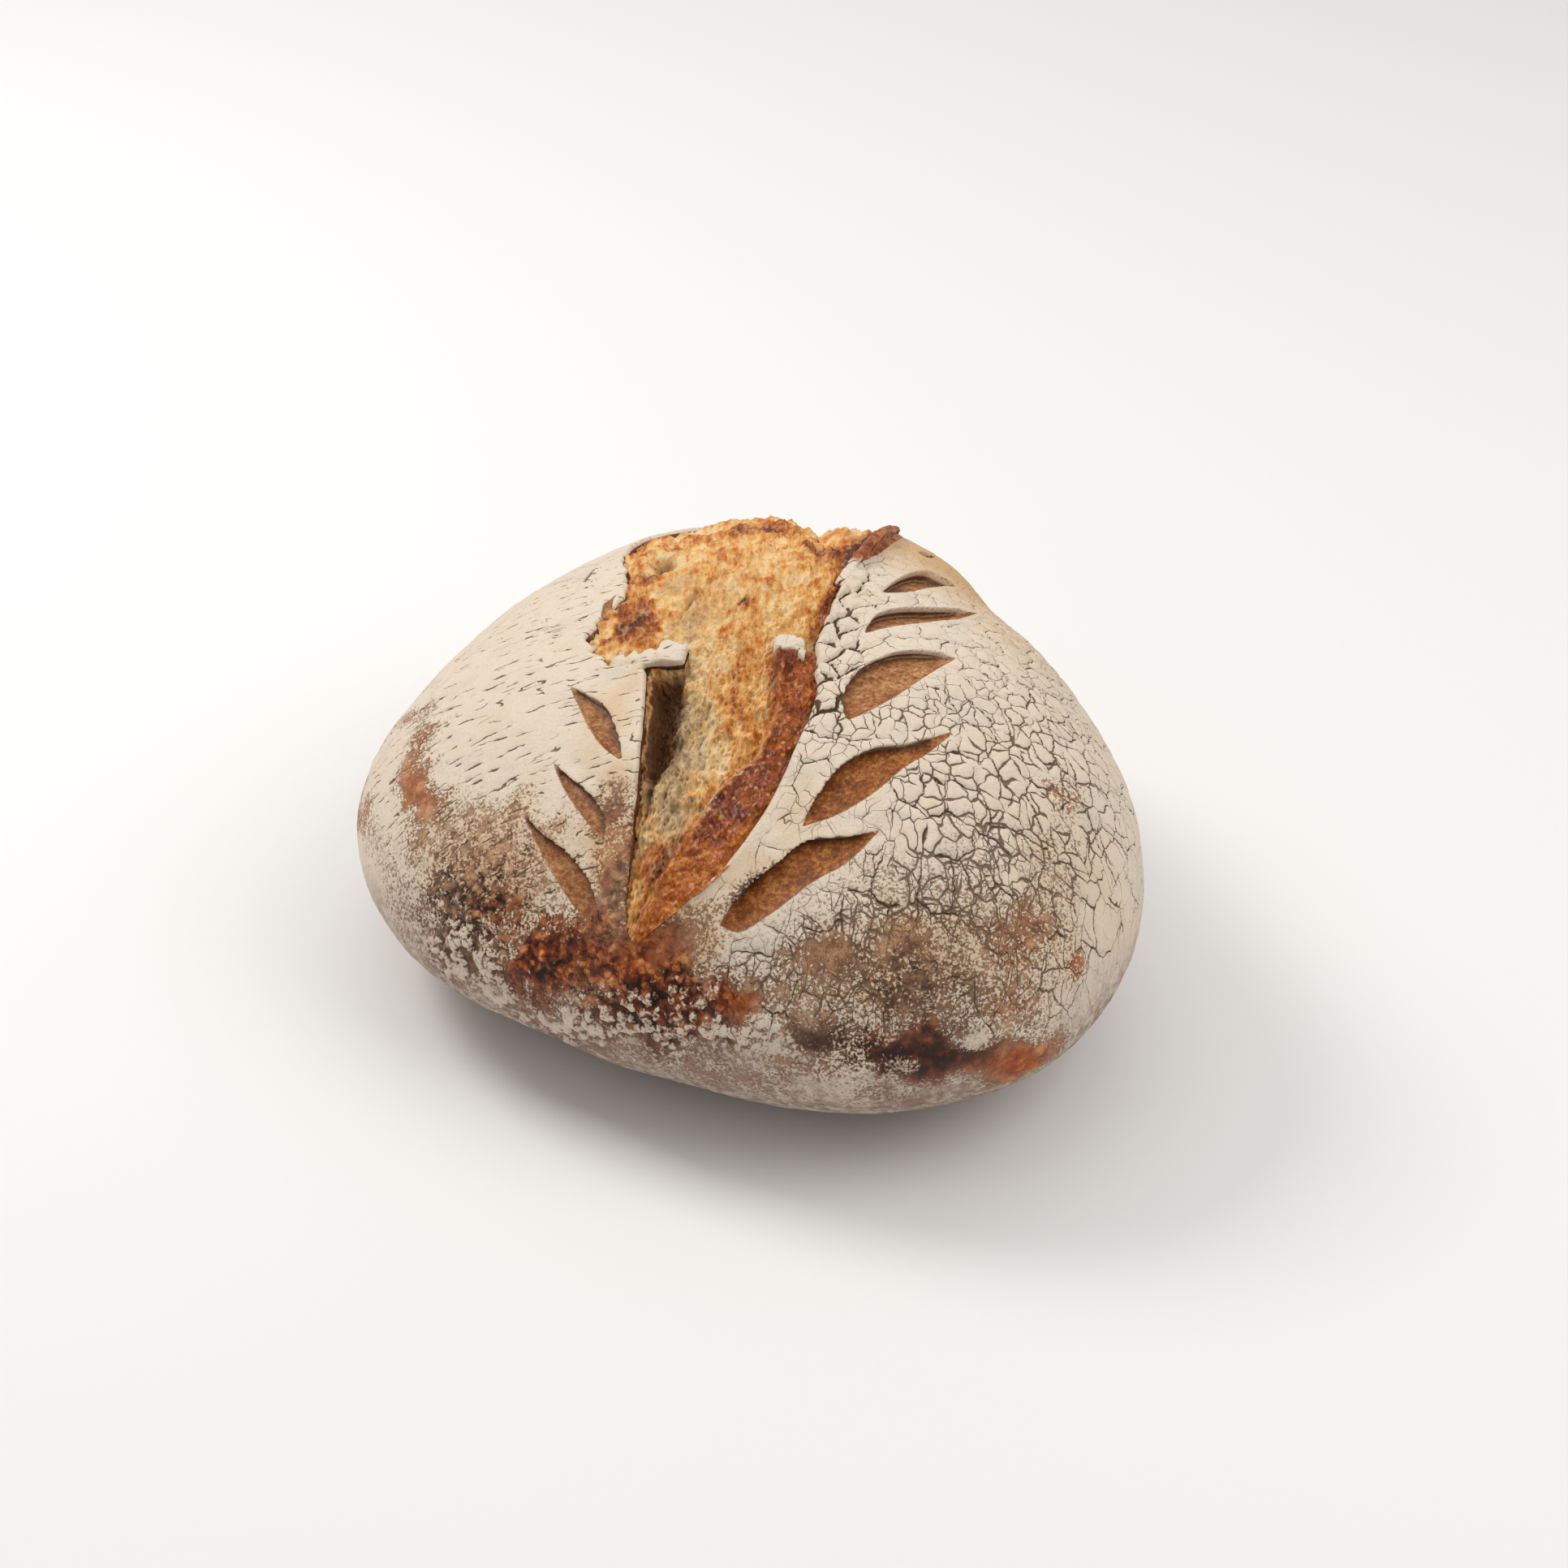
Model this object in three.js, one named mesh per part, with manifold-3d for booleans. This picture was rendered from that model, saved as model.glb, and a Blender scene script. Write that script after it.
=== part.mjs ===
// A round sourdough loaf, baked on its own flat base, with one wide burst over the crown and
// rows of small leaf-shaped slashes on both flanks. Millimetres and degrees, +Z up. The origin
// is on the surface that the loaf stands on, under the middle of its bounding box.
//
// The loaf is one piece of bread, so it is one solid. Places on the crust are read from a map:
// [u, v] is how many degrees a place lies from the crown, seen from the loaf's heart, towards
// +X (u) and +Y (v). Heights are millimetres above the smooth form, along the same ray.
import * as THREE from 'three';
import { mergeVertices } from 'three/addons/utils/BufferGeometryUtils.js';
import Module from 'manifold-3d';

// The smooth form.
const PLAN_RADIUS = 117.6;     // mean radius of the loaf seen from above
const OVAL = 0.10;             // how much longer than wide, as a share of the radius
const OVAL_TURN = -58;         // direction of the long axis, which lies across the burst
const EGG = -0.07;             // how far one end is blunter than the other
const EGG_TURN = 15;
const WAIST_HEIGHT = 43;       // height of the widest level, where the heart is
const CROWN_HEIGHT = 115;
const UNDERSIDE_CUT = 0.86;    // share of the rounded underside left above the flat base
const DOME_FULLNESS = 2.0;     // 2 is an ellipse, more is squarer
const UNDERSIDE_FULLNESS = 2.3;
const WAIST_TILT = 2;          // the waist is this much higher on one side
const WAIST_TILT_TURN = -40;
const CROWN_LEAN = [20, 10];   // how far the crown has slid off the middle while it sprang
const SWELL = 1.2;             // broad uneven swellings of the crust
const SWELL_PHASE = [5.9, 0.6];
const RIPPLE = 0.6;            // smaller ones between them
const RIPPLE_PHASE = [0.1, 4.1];
const FORM_DETAIL = 15;        // how finely the form is divided into faces

// The burst: pairs of places on its left and right rim, from its front tip to its back tip.
const BURST_STATIONS = [
  { left: [-27, -72.5], right: [-25.5, -72.5] },
  { left: [-29, -68.5], right: [-17.5, -68.5] },
  { left: [-30.4, -60], right: [-9.8, -63.2] },
  { left: [-31.3, -51], right: [-4, -54] },
  { left: [-32.4, -42], right: [-0.9, -44] },
  { left: [-33.6, -32], right: [1.7, -34] },
  { left: [-34.6, -23], right: [1.3, -25] },
  { left: [-36, -15.5], right: [0.7, -17] },
  { left: [-42, -12], right: [2.2, -10] },
  { left: [-45.5, -4], right: [3.8, -3] },
  { left: [-46.3, 3], right: [5.3, 3] },
  { left: [-42.2, 11], right: [8, 12] },
  { left: [-39.2, 18], right: [10.8, 19.5] },
  { left: [-38.2, 31], right: [15.3, 31] },
  { left: [-34.3, 47], right: [22.8, 50] },
  { left: [-24, 61], right: [22, 63] },
  { left: [-8, 71], right: [16, 72] },
  { left: [3, 75.5], right: [5, 75.5] },
];
const BURST_DEPTH = 17;        // depth of the opening before the crumb fills it
const BURST_ROWS = 34;
const CRUMB_UNDERLAP = 1.6;    // degrees that the crumb runs on beneath both rims
const CRUMB_ROOT = 24;         // how deep the crumb is rooted in the loaf
const CRUMB_FRONT = -4;        // height of the crumb towards the front tip
const CRUMB_BACK = -0.5;       // and towards the back, where it has risen furthest
const BAND_RISE = 2.5;         // the browned band beside the right rim lies this much higher
const CRUMB_TUCK = 2;          // the crumb dips this much where it meets the rims
const CRUMB_MOUND = 1.5;       // the torn crest that stands proud over the crown's back
const CRUMB_ROUGHNESS = 0.9;   // lumps left where the crumb tore
const GAP_DEPTH = 11;          // the dark gap under the left rim, below the crumb
const GAP_WIDTH = 0.14;        // as a share of the burst's width
const NOTCH_DEPTH = 6;         // the dip between the back crest and the ear
const LIP = 2;                 // both rims curl up this much
const LIP_WIDTH = 5;           // degrees over which the curl fades into the flank
const EAR_HEIGHT = 4;          // the standing tip of the right rim near the back
const EAR_MIDDLE = 0.76;       // its place along the rim, from 0 at the front tip to 1
const EAR_REACH = 0.13;

// The slashes. bow moves the middle sideways, and widest says where along its length a slash
// is widest. The raised, undercut lip is on the left of the way from the first end to the last.
const SLASHES = [
  { from: [17, 7], to: [38, 28], width: 6.5, bow: 0.5, widest: 0.5 },
  { from: [13.5, -12], to: [41.5, 10.8], width: 6.5, bow: 0, widest: 0.4 },
  { from: [8.6, -35], to: [30.5, -19.5], width: 10.5, bow: 1.6, widest: 0.28 },
  { from: [2.9, -58.8], to: [30.5, -38.6], width: 7.4, bow: 1.4, widest: 0.35 },
  { from: [-9.3, -72.6], to: [17.3, -58.3], width: 6, bow: 0.9, widest: 0.45 },
  { from: [27, 36.5], to: [32.5, 40], width: 1.8, bow: 0, widest: 0.5 },
  { from: [-47.7, -15.6], to: [-35.3, -40.5], width: 3.6, bow: 0, widest: 0.55 },
  { from: [-48.9, -33], to: [-35.8, -54.3], width: 2.6, bow: 0.1, widest: 0.55 },
  { from: [-52.9, -40.2], to: [-34.8, -64.8], width: 2.6, bow: -0.4, widest: 0.55 },
  { from: [-41.8, 38], to: [-44.6, 31.5], width: 2, bow: 0, widest: 0.6 },
];
const SLASH_DEPTH = 2.5;       // depth of the narrowest slash under its raised lip
const SLASH_DEPTH_GAIN = 0.25; // and how much deeper for each degree of width
const SLASH_LOW_LIP = 0.15;    // depth at the other lip, as a share
const SLASH_UNDERCUT = 0.8;    // degrees that the floor reaches in under the raised lip
const SLASH_ROWS = 12;

// Two flakes of crust that tore off the rims: their lower and upper edges on the map.
const FLAKES = [
  {
    lower: [[-42, -14.2], [-36.2, -15.4], [-27.6, -18.6]],
    upper: [[-42, -10], [-35, -11], [-28, -14.6]],
    root: -2.5, top: 1.2,
  },
  {
    lower: [[-8.2, -19.6], [-4, -20.8], [-0.9, -23]],
    upper: [[-8.7, -15.4], [-5, -14.4], [-1, -16.2]],
    root: -9, top: 0.6,
  },
];
const FLAKE_ROWS = 6;

const ABOVE = 14;              // how far cutters reach out of the crust
const BASE_BLOCK = 400;        // the block that cuts the base flat
const CRUST_COLOUR = 0xcbb592;

const wasm = await Module();
wasm.setup();

const radians = THREE.MathUtils.degToRad;
const lerp = THREE.MathUtils.lerp;
const smooth = THREE.MathUtils.smoothstep;
const bell = (distance, reach) => Math.exp(-((distance / reach) ** 2));

function solid(geometry) {
  geometry.deleteAttribute('normal');
  geometry.deleteAttribute('uv');
  const merged = mergeVertices(geometry, 1e-4);
  const faces = merged.index.array;
  return new wasm.Manifold(new wasm.Mesh({
    numProp: 3,
    vertProperties: new Float32Array(merged.attributes.position.array),
    triVerts: new Uint32Array(faces),
  }));
}

function swelling(azimuth, elevation) {
  const x = Math.cos(elevation) * Math.cos(azimuth);
  const y = Math.cos(elevation) * Math.sin(azimuth);
  const z = Math.sin(elevation);
  const [swellA, swellB] = SWELL_PHASE;
  const [rippleA, rippleB] = RIPPLE_PHASE;
  return SWELL * Math.sin(swellA + 5 * x + 3 * z) * Math.sin(swellB + 4.3 * y - 2 * x)
    + RIPPLE * Math.sin(rippleA + 9 * x) * Math.sin(rippleB + 8 * y + 4 * z);
}

// The place on the form in a direction from the heart, raised by `height` along that ray.
function formPoint(azimuth, elevation, height) {
  const plan = PLAN_RADIUS * (1 + OVAL * Math.cos(2 * (azimuth - radians(OVAL_TURN)))
    + EGG * Math.cos(3 * (azimuth - radians(EGG_TURN))));
  const above = elevation >= 0;
  const rise = above ? CROWN_HEIGHT - WAIST_HEIGHT : WAIST_HEIGHT / UNDERSIDE_CUT;
  const fullness = above ? DOME_FULLNESS : UNDERSIDE_FULLNESS;
  const cos = Math.cos(elevation);
  const sin = Math.sin(elevation);
  const ray = (Math.abs(cos / plan) ** fullness + Math.abs(sin / rise) ** fullness)
    ** (-1 / fullness) + swelling(azimuth, elevation) + height;
  const tilt = WAIST_TILT * Math.cos(azimuth - radians(WAIST_TILT_TURN)) * cos * cos;
  const z = WAIST_HEIGHT + ray * sin + tilt;
  const raised = THREE.MathUtils.clamp((z - WAIST_HEIGHT) / (CROWN_HEIGHT - WAIST_HEIGHT), 0, 1.2);
  const lean = raised ** 1.5;
  return new THREE.Vector3(
    ray * cos * Math.cos(azimuth) + lean * CROWN_LEAN[0],
    ray * cos * Math.sin(azimuth) + lean * CROWN_LEAN[1],
    z,
  );
}

function mapPoint(u, v, height) {
  return formPoint(Math.atan2(v, u), radians(90 - Math.hypot(u, v)), height);
}

function curve(places) {
  return new THREE.SplineCurve(places.map(([u, v]) => new THREE.Vector2(u, v)));
}

const leftRim = curve(BURST_STATIONS.map((station) => station.left));
const rightRim = curve(BURST_STATIONS.map((station) => station.right));
const rimPlaces = [...leftRim.getPoints(60), ...rightRim.getPoints(60)];

function lipHeight(u, v) {
  const nearest = Math.min(...rimPlaces.map((place) => Math.hypot(place.x - u, place.y - v)));
  return LIP * bell(nearest, LIP_WIDTH);
}

function form() {
  const ball = new THREE.IcosahedronGeometry(1, FORM_DETAIL);
  const places = ball.attributes.position;
  for (let i = 0; i < places.count; i += 1) {
    const direction = new THREE.Vector3().fromBufferAttribute(places, i).normalize();
    const azimuth = Math.atan2(direction.y, direction.x);
    const elevation = Math.asin(direction.z);
    const away = 90 - THREE.MathUtils.radToDeg(elevation);
    const lip = lipHeight(away * Math.cos(azimuth), away * Math.sin(azimuth));
    const point = formPoint(azimuth, elevation, lip);
    places.setXYZ(i, point.x, point.y, point.z);
  }
  return solid(ball);
}

// A closed solid between two grids of places: patch(along, across) gives the place on the map
// and the heights of the underside and the top there. Seen from above the crust, across runs
// to the right of along.
function quilt(rows, columns, patch) {
  const low = [];
  const high = [];
  for (let i = 0; i <= rows; i += 1) {
    for (let j = 0; j <= columns; j += 1) {
      const { place, root, top } = patch(i / rows, j / columns);
      low.push(mapPoint(place.x, place.y, root));
      high.push(mapPoint(place.x, place.y, top));
    }
  }
  const corners = [...low, ...high];
  const at = (i, j, isTop) => i * (columns + 1) + j + (isTop ? low.length : 0);
  const faces = [];
  const square = (a, b, c, d) => faces.push(a, b, c, a, c, d);
  for (let i = 0; i < rows; i += 1) {
    for (let j = 0; j < columns; j += 1) {
      square(at(i, j, 1), at(i, j + 1, 1), at(i + 1, j + 1, 1), at(i + 1, j, 1));
      square(at(i, j, 0), at(i + 1, j, 0), at(i + 1, j + 1, 0), at(i, j + 1, 0));
    }
    square(at(i, 0, 0), at(i, 0, 1), at(i + 1, 0, 1), at(i + 1, 0, 0));
    square(at(i, columns, 0), at(i + 1, columns, 0), at(i + 1, columns, 1), at(i, columns, 1));
  }
  for (let j = 0; j < columns; j += 1) {
    square(at(0, j, 0), at(0, j + 1, 0), at(0, j + 1, 1), at(0, j, 1));
    square(at(rows, j, 0), at(rows, j, 1), at(rows, j + 1, 1), at(rows, j + 1, 0));
  }
  const geometry = new THREE.BufferGeometry().setFromPoints(corners);
  geometry.setIndex(faces);
  return solid(geometry);
}

function burstOpening() {
  return quilt(BURST_ROWS, 4, (along, across) => ({
    place: leftRim.getPoint(along).lerp(rightRim.getPoint(along), across),
    root: -BURST_DEPTH,
    top: ABOVE,
  }));
}

// The torn crumb, deep in a gap under the left rim and rising to the right rim.
function crumbHeight(place, across) {
  const level = lerp(CRUMB_FRONT, CRUMB_BACK, smooth(place.y, -40, 20));
  const gapShare = smooth(place.y, -72, -48) * (1 - smooth(place.y, -14, -2) * 0.6);
  const gap = GAP_DEPTH * gapShare * bell(across, GAP_WIDTH);
  const band = BAND_RISE * smooth(across, 0.55, 0.85) * (1 - smooth(place.y, -40, 20));
  const tuck = CRUMB_TUCK * (bell(across, 0.06) + bell(across - 1, 0.06));
  const mound = CRUMB_MOUND * bell(place.y - 46, 14) * bell(across - 0.5, 0.28);
  const notch = NOTCH_DEPTH * bell(place.y - 47, 12) * bell(across - 0.87, 0.1);
  const lumps = CRUMB_ROUGHNESS * (Math.sin(place.x * 0.62 + 1) * Math.sin(place.y * 0.47)
    + 0.6 * Math.sin(place.x * 1.1 + place.y * 0.7 + 2));
  return level - gap + band + mound - notch - tuck + lumps;
}

function crumb() {
  return quilt(BURST_ROWS, 12, (along, across) => {
    const left = leftRim.getPoint(along);
    const right = rightRim.getPoint(along);
    const reach = right.clone().sub(left);
    const underlap = CRUMB_UNDERLAP / Math.max(reach.length(), CRUMB_UNDERLAP);
    const stretched = lerp(-underlap, 1 + underlap, across);
    const place = left.clone().addScaledVector(reach, stretched);
    const inside = THREE.MathUtils.clamp(stretched, 0, 1);
    return { place, root: -CRUMB_ROOT, top: crumbHeight(place, inside) };
  });
}

// The torn edge of the right rim, which stands up as a thin ear near the back.
function ear() {
  return quilt(14, 2, (along, across) => {
    const t = EAR_MIDDLE + (along - 0.5) * 2 * EAR_REACH;
    const place = rightRim.getPoint(t);
    const way = rightRim.getTangent(t);
    const offset = lerp(-1, 1.6, across);
    place.add(new THREE.Vector2(way.y, -way.x).multiplyScalar(offset));
    const crest = Math.sin(Math.PI * along) * (across === 0.5 ? 1 : 0.75);
    return { place, root: -8, top: -0.5 + LIP + EAR_HEIGHT * crest };
  });
}

function slash({ from, to, width, bow, widest }) {
  const start = new THREE.Vector2(...from);
  const way = new THREE.Vector2(...to).sub(start);
  const lipSide = new THREE.Vector2(-way.y, way.x).normalize();
  const blunt = Math.log(0.5) / Math.log(widest);
  const deepest = SLASH_DEPTH + SLASH_DEPTH_GAIN * width;
  return quilt(SLASH_ROWS, 3, (along, across) => {
    const leaf = Math.max(Math.sin(Math.PI * along ** blunt), 0.06) ** 0.8;
    const half = (width / 2) * leaf;
    const place = start.clone().addScaledVector(way, along);
    const undercut = across === 0 ? SLASH_UNDERCUT * leaf : 0;
    const aside = bow * Math.sin(Math.PI * along) + lerp(half, -half, across) + undercut;
    place.addScaledVector(lipSide, aside);
    const root = -deepest * leaf * lerp(1, SLASH_LOW_LIP, across);
    return { place, root, top: ABOVE };
  });
}

function flake({ lower, upper, root, top }) {
  const lowerEdge = curve(lower);
  const upperEdge = curve(upper);
  return quilt(FLAKE_ROWS, 2, (along, across) => ({
    place: upperEdge.getPoint(along).lerp(lowerEdge.getPoint(along), across),
    root,
    top,
  }));
}

function baseCutter() {
  const block = new THREE.BoxGeometry(BASE_BLOCK, BASE_BLOCK, BASE_BLOCK);
  block.translate(0, 0, -BASE_BLOCK / 2);
  return solid(block);
}

function loafGeometry() {
  let bread = form().subtract(burstOpening()).add(crumb()).add(ear());
  for (const piece of FLAKES) bread = bread.add(flake(piece));
  for (const cut of SLASHES) bread = bread.subtract(slash(cut));
  bread = bread.subtract(baseCutter());
  const { vertProperties, triVerts } = bread.getMesh();
  const geometry = new THREE.BufferGeometry();
  geometry.setAttribute('position', new THREE.BufferAttribute(vertProperties, 3));
  geometry.setIndex(new THREE.BufferAttribute(triVerts, 1));
  geometry.computeBoundingBox();
  const middle = geometry.boundingBox.getCenter(new THREE.Vector3());
  geometry.translate(-middle.x, -middle.y, -geometry.boundingBox.min.z);
  geometry.computeVertexNormals();
  return geometry;
}

const crust = new THREE.MeshStandardMaterial({
  color: CRUST_COLOUR,
  roughness: 0.9,
  metalness: 0,
});
const loaf = new THREE.Mesh(loafGeometry(), crust);
loaf.name = 'loaf';

const group = new THREE.Group();
group.add(loaf);

export default group;
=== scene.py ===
# %% [markdown]
# # A floured sourdough loaf
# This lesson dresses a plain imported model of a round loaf. The loaf rose in a floured basket,
# was slashed with a blade and burst open over its crown while it baked. Its looks come from
# four things: the crackled flour skin, the torn golden crumb in the burst, the caramelised
# band and ear beside it, and the browned, blistered crust lower down.
#
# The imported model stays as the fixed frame. Everything made here fits it.

# %% Load the frame
import math
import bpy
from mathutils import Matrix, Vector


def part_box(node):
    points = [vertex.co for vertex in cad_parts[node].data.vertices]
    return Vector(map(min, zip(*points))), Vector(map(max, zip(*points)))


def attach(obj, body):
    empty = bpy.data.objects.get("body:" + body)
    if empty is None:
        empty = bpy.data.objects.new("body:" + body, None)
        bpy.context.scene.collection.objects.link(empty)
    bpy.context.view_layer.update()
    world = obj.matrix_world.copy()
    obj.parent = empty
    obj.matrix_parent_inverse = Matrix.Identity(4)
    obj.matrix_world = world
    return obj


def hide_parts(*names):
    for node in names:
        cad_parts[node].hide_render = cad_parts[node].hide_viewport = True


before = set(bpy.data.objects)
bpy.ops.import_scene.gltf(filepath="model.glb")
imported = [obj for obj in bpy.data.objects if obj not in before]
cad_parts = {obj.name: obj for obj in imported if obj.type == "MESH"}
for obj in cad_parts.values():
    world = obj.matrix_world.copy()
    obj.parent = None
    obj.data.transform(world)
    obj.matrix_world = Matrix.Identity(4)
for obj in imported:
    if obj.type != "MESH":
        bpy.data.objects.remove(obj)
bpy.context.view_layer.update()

from types import SimpleNamespace

import bpy
import numpy as np
from mathutils import Vector

loaf_low, loaf_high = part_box("loaf")
print("the loaf's box, m:", tuple(loaf_low), tuple(loaf_high))
MM = 0.001

# %% [markdown]
# ## The camera, the light and the table
# A long lens from a little above keeps the loaf's shape. The light is one soft lamp from behind
# on the left, which rakes over the cracks and slashes, a broader one from the front right to
# open the shadows, a weak one overhead, and a white world all round. A bare sun would show more
# relief, but its hard shadows would hide the crumb.

# %% The camera
scene = bpy.context.scene
LENS = 85
SENSOR = 36
DISTANCE = 1122 * MM
ELEVATION = math.radians(34.5)
AIM = (12.26 * MM, -2.7 * MM, 55.8 * MM)

bpy.ops.object.camera_add()
camera = bpy.context.object
camera.name = "camera"
camera.data.lens = LENS
camera.data.sensor_width = SENSOR
camera.data.clip_end = 20
camera.location = (
    AIM[0],
    AIM[1] - DISTANCE * math.cos(ELEVATION),
    AIM[2] + DISTANCE * math.sin(ELEVATION),
)
camera.rotation_euler = (math.pi / 2 - ELEVATION, 0, 0)
scene.camera = camera
scene.view_settings.view_transform = "Standard"
print("camera", tuple(round(c, 3) for c in camera.location))


# %% The lamps, the world and the table
WARM_WHITE = (1.0, 0.985, 0.96)


def soft_lamp(name, place, size, power, colour):
    """A square area lamp that looks at the loaf."""
    bpy.ops.object.light_add(type="AREA", location=place)
    lamp = bpy.context.object
    lamp.name = name
    lamp.data.shape = "SQUARE"
    lamp.data.size = size
    lamp.data.energy = power
    lamp.data.color = colour
    away = lamp.location - Vector(AIM)
    lamp.rotation_euler = away.to_track_quat("Z", "Y").to_euler()
    return lamp


soft_lamp("window_light", (-0.8, 0.5, 1.0), 0.5, 9, WARM_WHITE)
soft_lamp("fill_light", (0.9, -0.3, 1.1), 1.0, 7, WARM_WHITE)
soft_lamp("sky_light", (0.0, 0.2, 1.4), 1.0, 3, (1.0, 0.99, 0.97))

world = bpy.data.worlds.new("white_room")
world.use_nodes = True
world.node_tree.nodes["Background"].inputs["Color"].default_value = (1, 1, 1, 1)
world.node_tree.nodes["Background"].inputs["Strength"].default_value = 0.52
scene.world = world

bpy.ops.mesh.primitive_plane_add(size=6, location=(0, 0, 0))
table = bpy.context.object
table.name = "table"
table_paint = bpy.data.materials.new("pale_table")
table_paint.use_nodes = True
paint = table_paint.node_tree.nodes["Principled BSDF"]
paint.inputs["Base Color"].default_value = (0.8, 0.79, 0.78, 1)
paint.inputs["Roughness"].default_value = 0.8
table.data.materials.append(table_paint)

# %% [markdown]
# ## The smooth form
# A hearth loaf is a flattened ball: nearly an ellipse above its widest level, a little squarer
# below, cut flat by the baking stone. It is oval across the burst, because the loaf opens
# there, and its crown has slid off the middle as it sprang. One formula gives its surface for
# every direction from the heart, and these numbers are the ones that the frame was made with.

# %% The form as a formula
PLAN_RADIUS = 117.6
OVAL, OVAL_TURN = 0.10, math.radians(-58)
EGG, EGG_TURN = -0.07, math.radians(15)
WAIST_HEIGHT = 43.0
CROWN_HEIGHT = 115.0
UNDERSIDE_CUT = 0.86
DOME_FULLNESS, UNDERSIDE_FULLNESS = 2.0, 2.3
WAIST_TILT, WAIST_TILT_TURN = 2.0, math.radians(-40)
CROWN_LEAN = (20.0, 10.0)


def swelling(azimuth, elevation):
    """Broad uneven swellings of the crust, in mm."""
    x = np.cos(elevation) * np.cos(azimuth)
    y = np.cos(elevation) * np.sin(azimuth)
    z = np.sin(elevation)
    broad = np.sin(5.9 + 5 * x + 3 * z) * np.sin(0.6 + 4.3 * y - 2 * x)
    small = np.sin(0.1 + 9 * x) * np.sin(4.1 + 8 * y + 4 * z)
    return 1.2 * broad + 0.6 * small


def form_ray(azimuth, elevation):
    """How far the smooth form is from the heart in a direction, in mm."""
    plan = PLAN_RADIUS * (
        1 + OVAL * np.cos(2 * (azimuth - OVAL_TURN)) + EGG * np.cos(3 * (azimuth - EGG_TURN))
    )
    above = elevation >= 0
    rise = np.where(above, CROWN_HEIGHT - WAIST_HEIGHT, WAIST_HEIGHT / UNDERSIDE_CUT)
    fullness = np.where(above, DOME_FULLNESS, UNDERSIDE_FULLNESS)
    flat = np.abs(np.cos(elevation) / plan) ** fullness
    steep = np.abs(np.sin(elevation) / rise) ** fullness
    return (flat + steep) ** (-1 / fullness) + swelling(azimuth, elevation)


def waist_tilt(azimuth, elevation):
    return WAIST_TILT * np.cos(azimuth - WAIST_TILT_TURN) * np.cos(elevation) ** 2


def crown_lean(z):
    raised = np.clip((z - WAIST_HEIGHT) / (CROWN_HEIGHT - WAIST_HEIGHT), 0, 1.2)
    return raised**1.5


def form_place(azimuth, elevation, height):
    """The place, in mm, that lies `height` above the form in a direction from the heart."""
    ray = form_ray(azimuth, elevation) + height
    z = WAIST_HEIGHT + ray * np.sin(elevation) + waist_tilt(azimuth, elevation)
    lean = crown_lean(z)
    x = ray * np.cos(elevation) * np.cos(azimuth) + lean * CROWN_LEAN[0]
    y = ray * np.cos(elevation) * np.sin(azimuth) + lean * CROWN_LEAN[1]
    return np.stack([x, y, z], -1)


ring, arch = np.meshgrid(np.linspace(-np.pi, np.pi, 721), np.linspace(-0.5, 1.5, 301))
sample = form_place(ring, arch, 0).reshape(-1, 3)
CENTRE = (sample.min(0) + sample.max(0)) / 2 - np.array(
    [(loaf_low.x + loaf_high.x) / 2 / MM, (loaf_low.y + loaf_high.y) / 2 / MM, 0]
)
CENTRE[2] = 0
print("the form's middle, mm:", CENTRE.round(2))

# %% [markdown]
# ## A map of the crust
# Every slash, crack and patch needs an address. The map gives one: [u, v] is how many degrees
# a place lies from the crown, towards +X and towards +Y. `from_map` turns an address and a
# height above the form into a place, and `to_map` reads the address of any place back.


# %% To the map and back
def from_map(u, v, height):
    """Places in metres for map addresses in degrees and heights in mm."""
    azimuth = np.arctan2(v, u)
    elevation = np.radians(90 - np.hypot(u, v))
    return (form_place(azimuth, elevation, height) - CENTRE) * MM


def to_map(places):
    """Map addresses in degrees and heights in mm for places in metres."""
    at = places / MM + CENTRE
    lean = crown_lean(at[:, 2])
    x = at[:, 0] - lean * CROWN_LEAN[0]
    y = at[:, 1] - lean * CROWN_LEAN[1]
    azimuth = np.arctan2(y, x)
    across = np.hypot(x, y)
    elevation = np.arctan2(at[:, 2] - WAIST_HEIGHT, across)
    for _ in range(4):
        rise = at[:, 2] - WAIST_HEIGHT - waist_tilt(azimuth, elevation)
        elevation = np.arctan2(rise, across)
    away = 90 - np.degrees(elevation)
    height = np.hypot(across, rise) - form_ray(azimuth, elevation)
    return away * np.cos(azimuth), away * np.sin(azimuth), height


u0, v0, h0 = to_map(from_map(np.array([30.0, -60]), np.array([-50.0, 20]), np.array([2.0, -3])))
print("there and back:", u0.round(2), v0.round(2), h0.round(2))


# %% [markdown]
# ## Corners as numbers
# Numpy reads and writes all corners of a mesh in one step, which is far quicker than a loop over
# them. Modifiers are still applied as by hand, one after the other.


# %% Small helpers for meshes
def read_places(thing):
    flat = np.empty(len(thing.data.vertices) * 3, np.float32)
    thing.data.vertices.foreach_get("co", flat)
    return flat.reshape(-1, 3).astype(float)


def write_places(thing, places):
    thing.data.vertices.foreach_set("co", places.astype(np.float32).ravel())
    thing.data.update()


def select_only(thing):
    bpy.ops.object.select_all(action="DESELECT")
    thing.select_set(True)
    bpy.context.view_layer.objects.active = thing


def apply_all(thing):
    """Applies the object's modifiers from first to last."""
    select_only(thing)
    for modifier in list(thing.modifiers):
        bpy.ops.object.modifier_apply(modifier=modifier.name)


def store(thing, name, values):
    """Keeps one number or one vector for each vertex."""
    kind = "FLOAT" if values.ndim == 1 else "FLOAT_VECTOR"
    kept = thing.data.attributes.get(name) or thing.data.attributes.new(name, kind, "POINT")
    field = "value" if values.ndim == 1 else "vector"
    kept.data.foreach_set(field, values.astype(np.float32).ravel())


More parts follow.
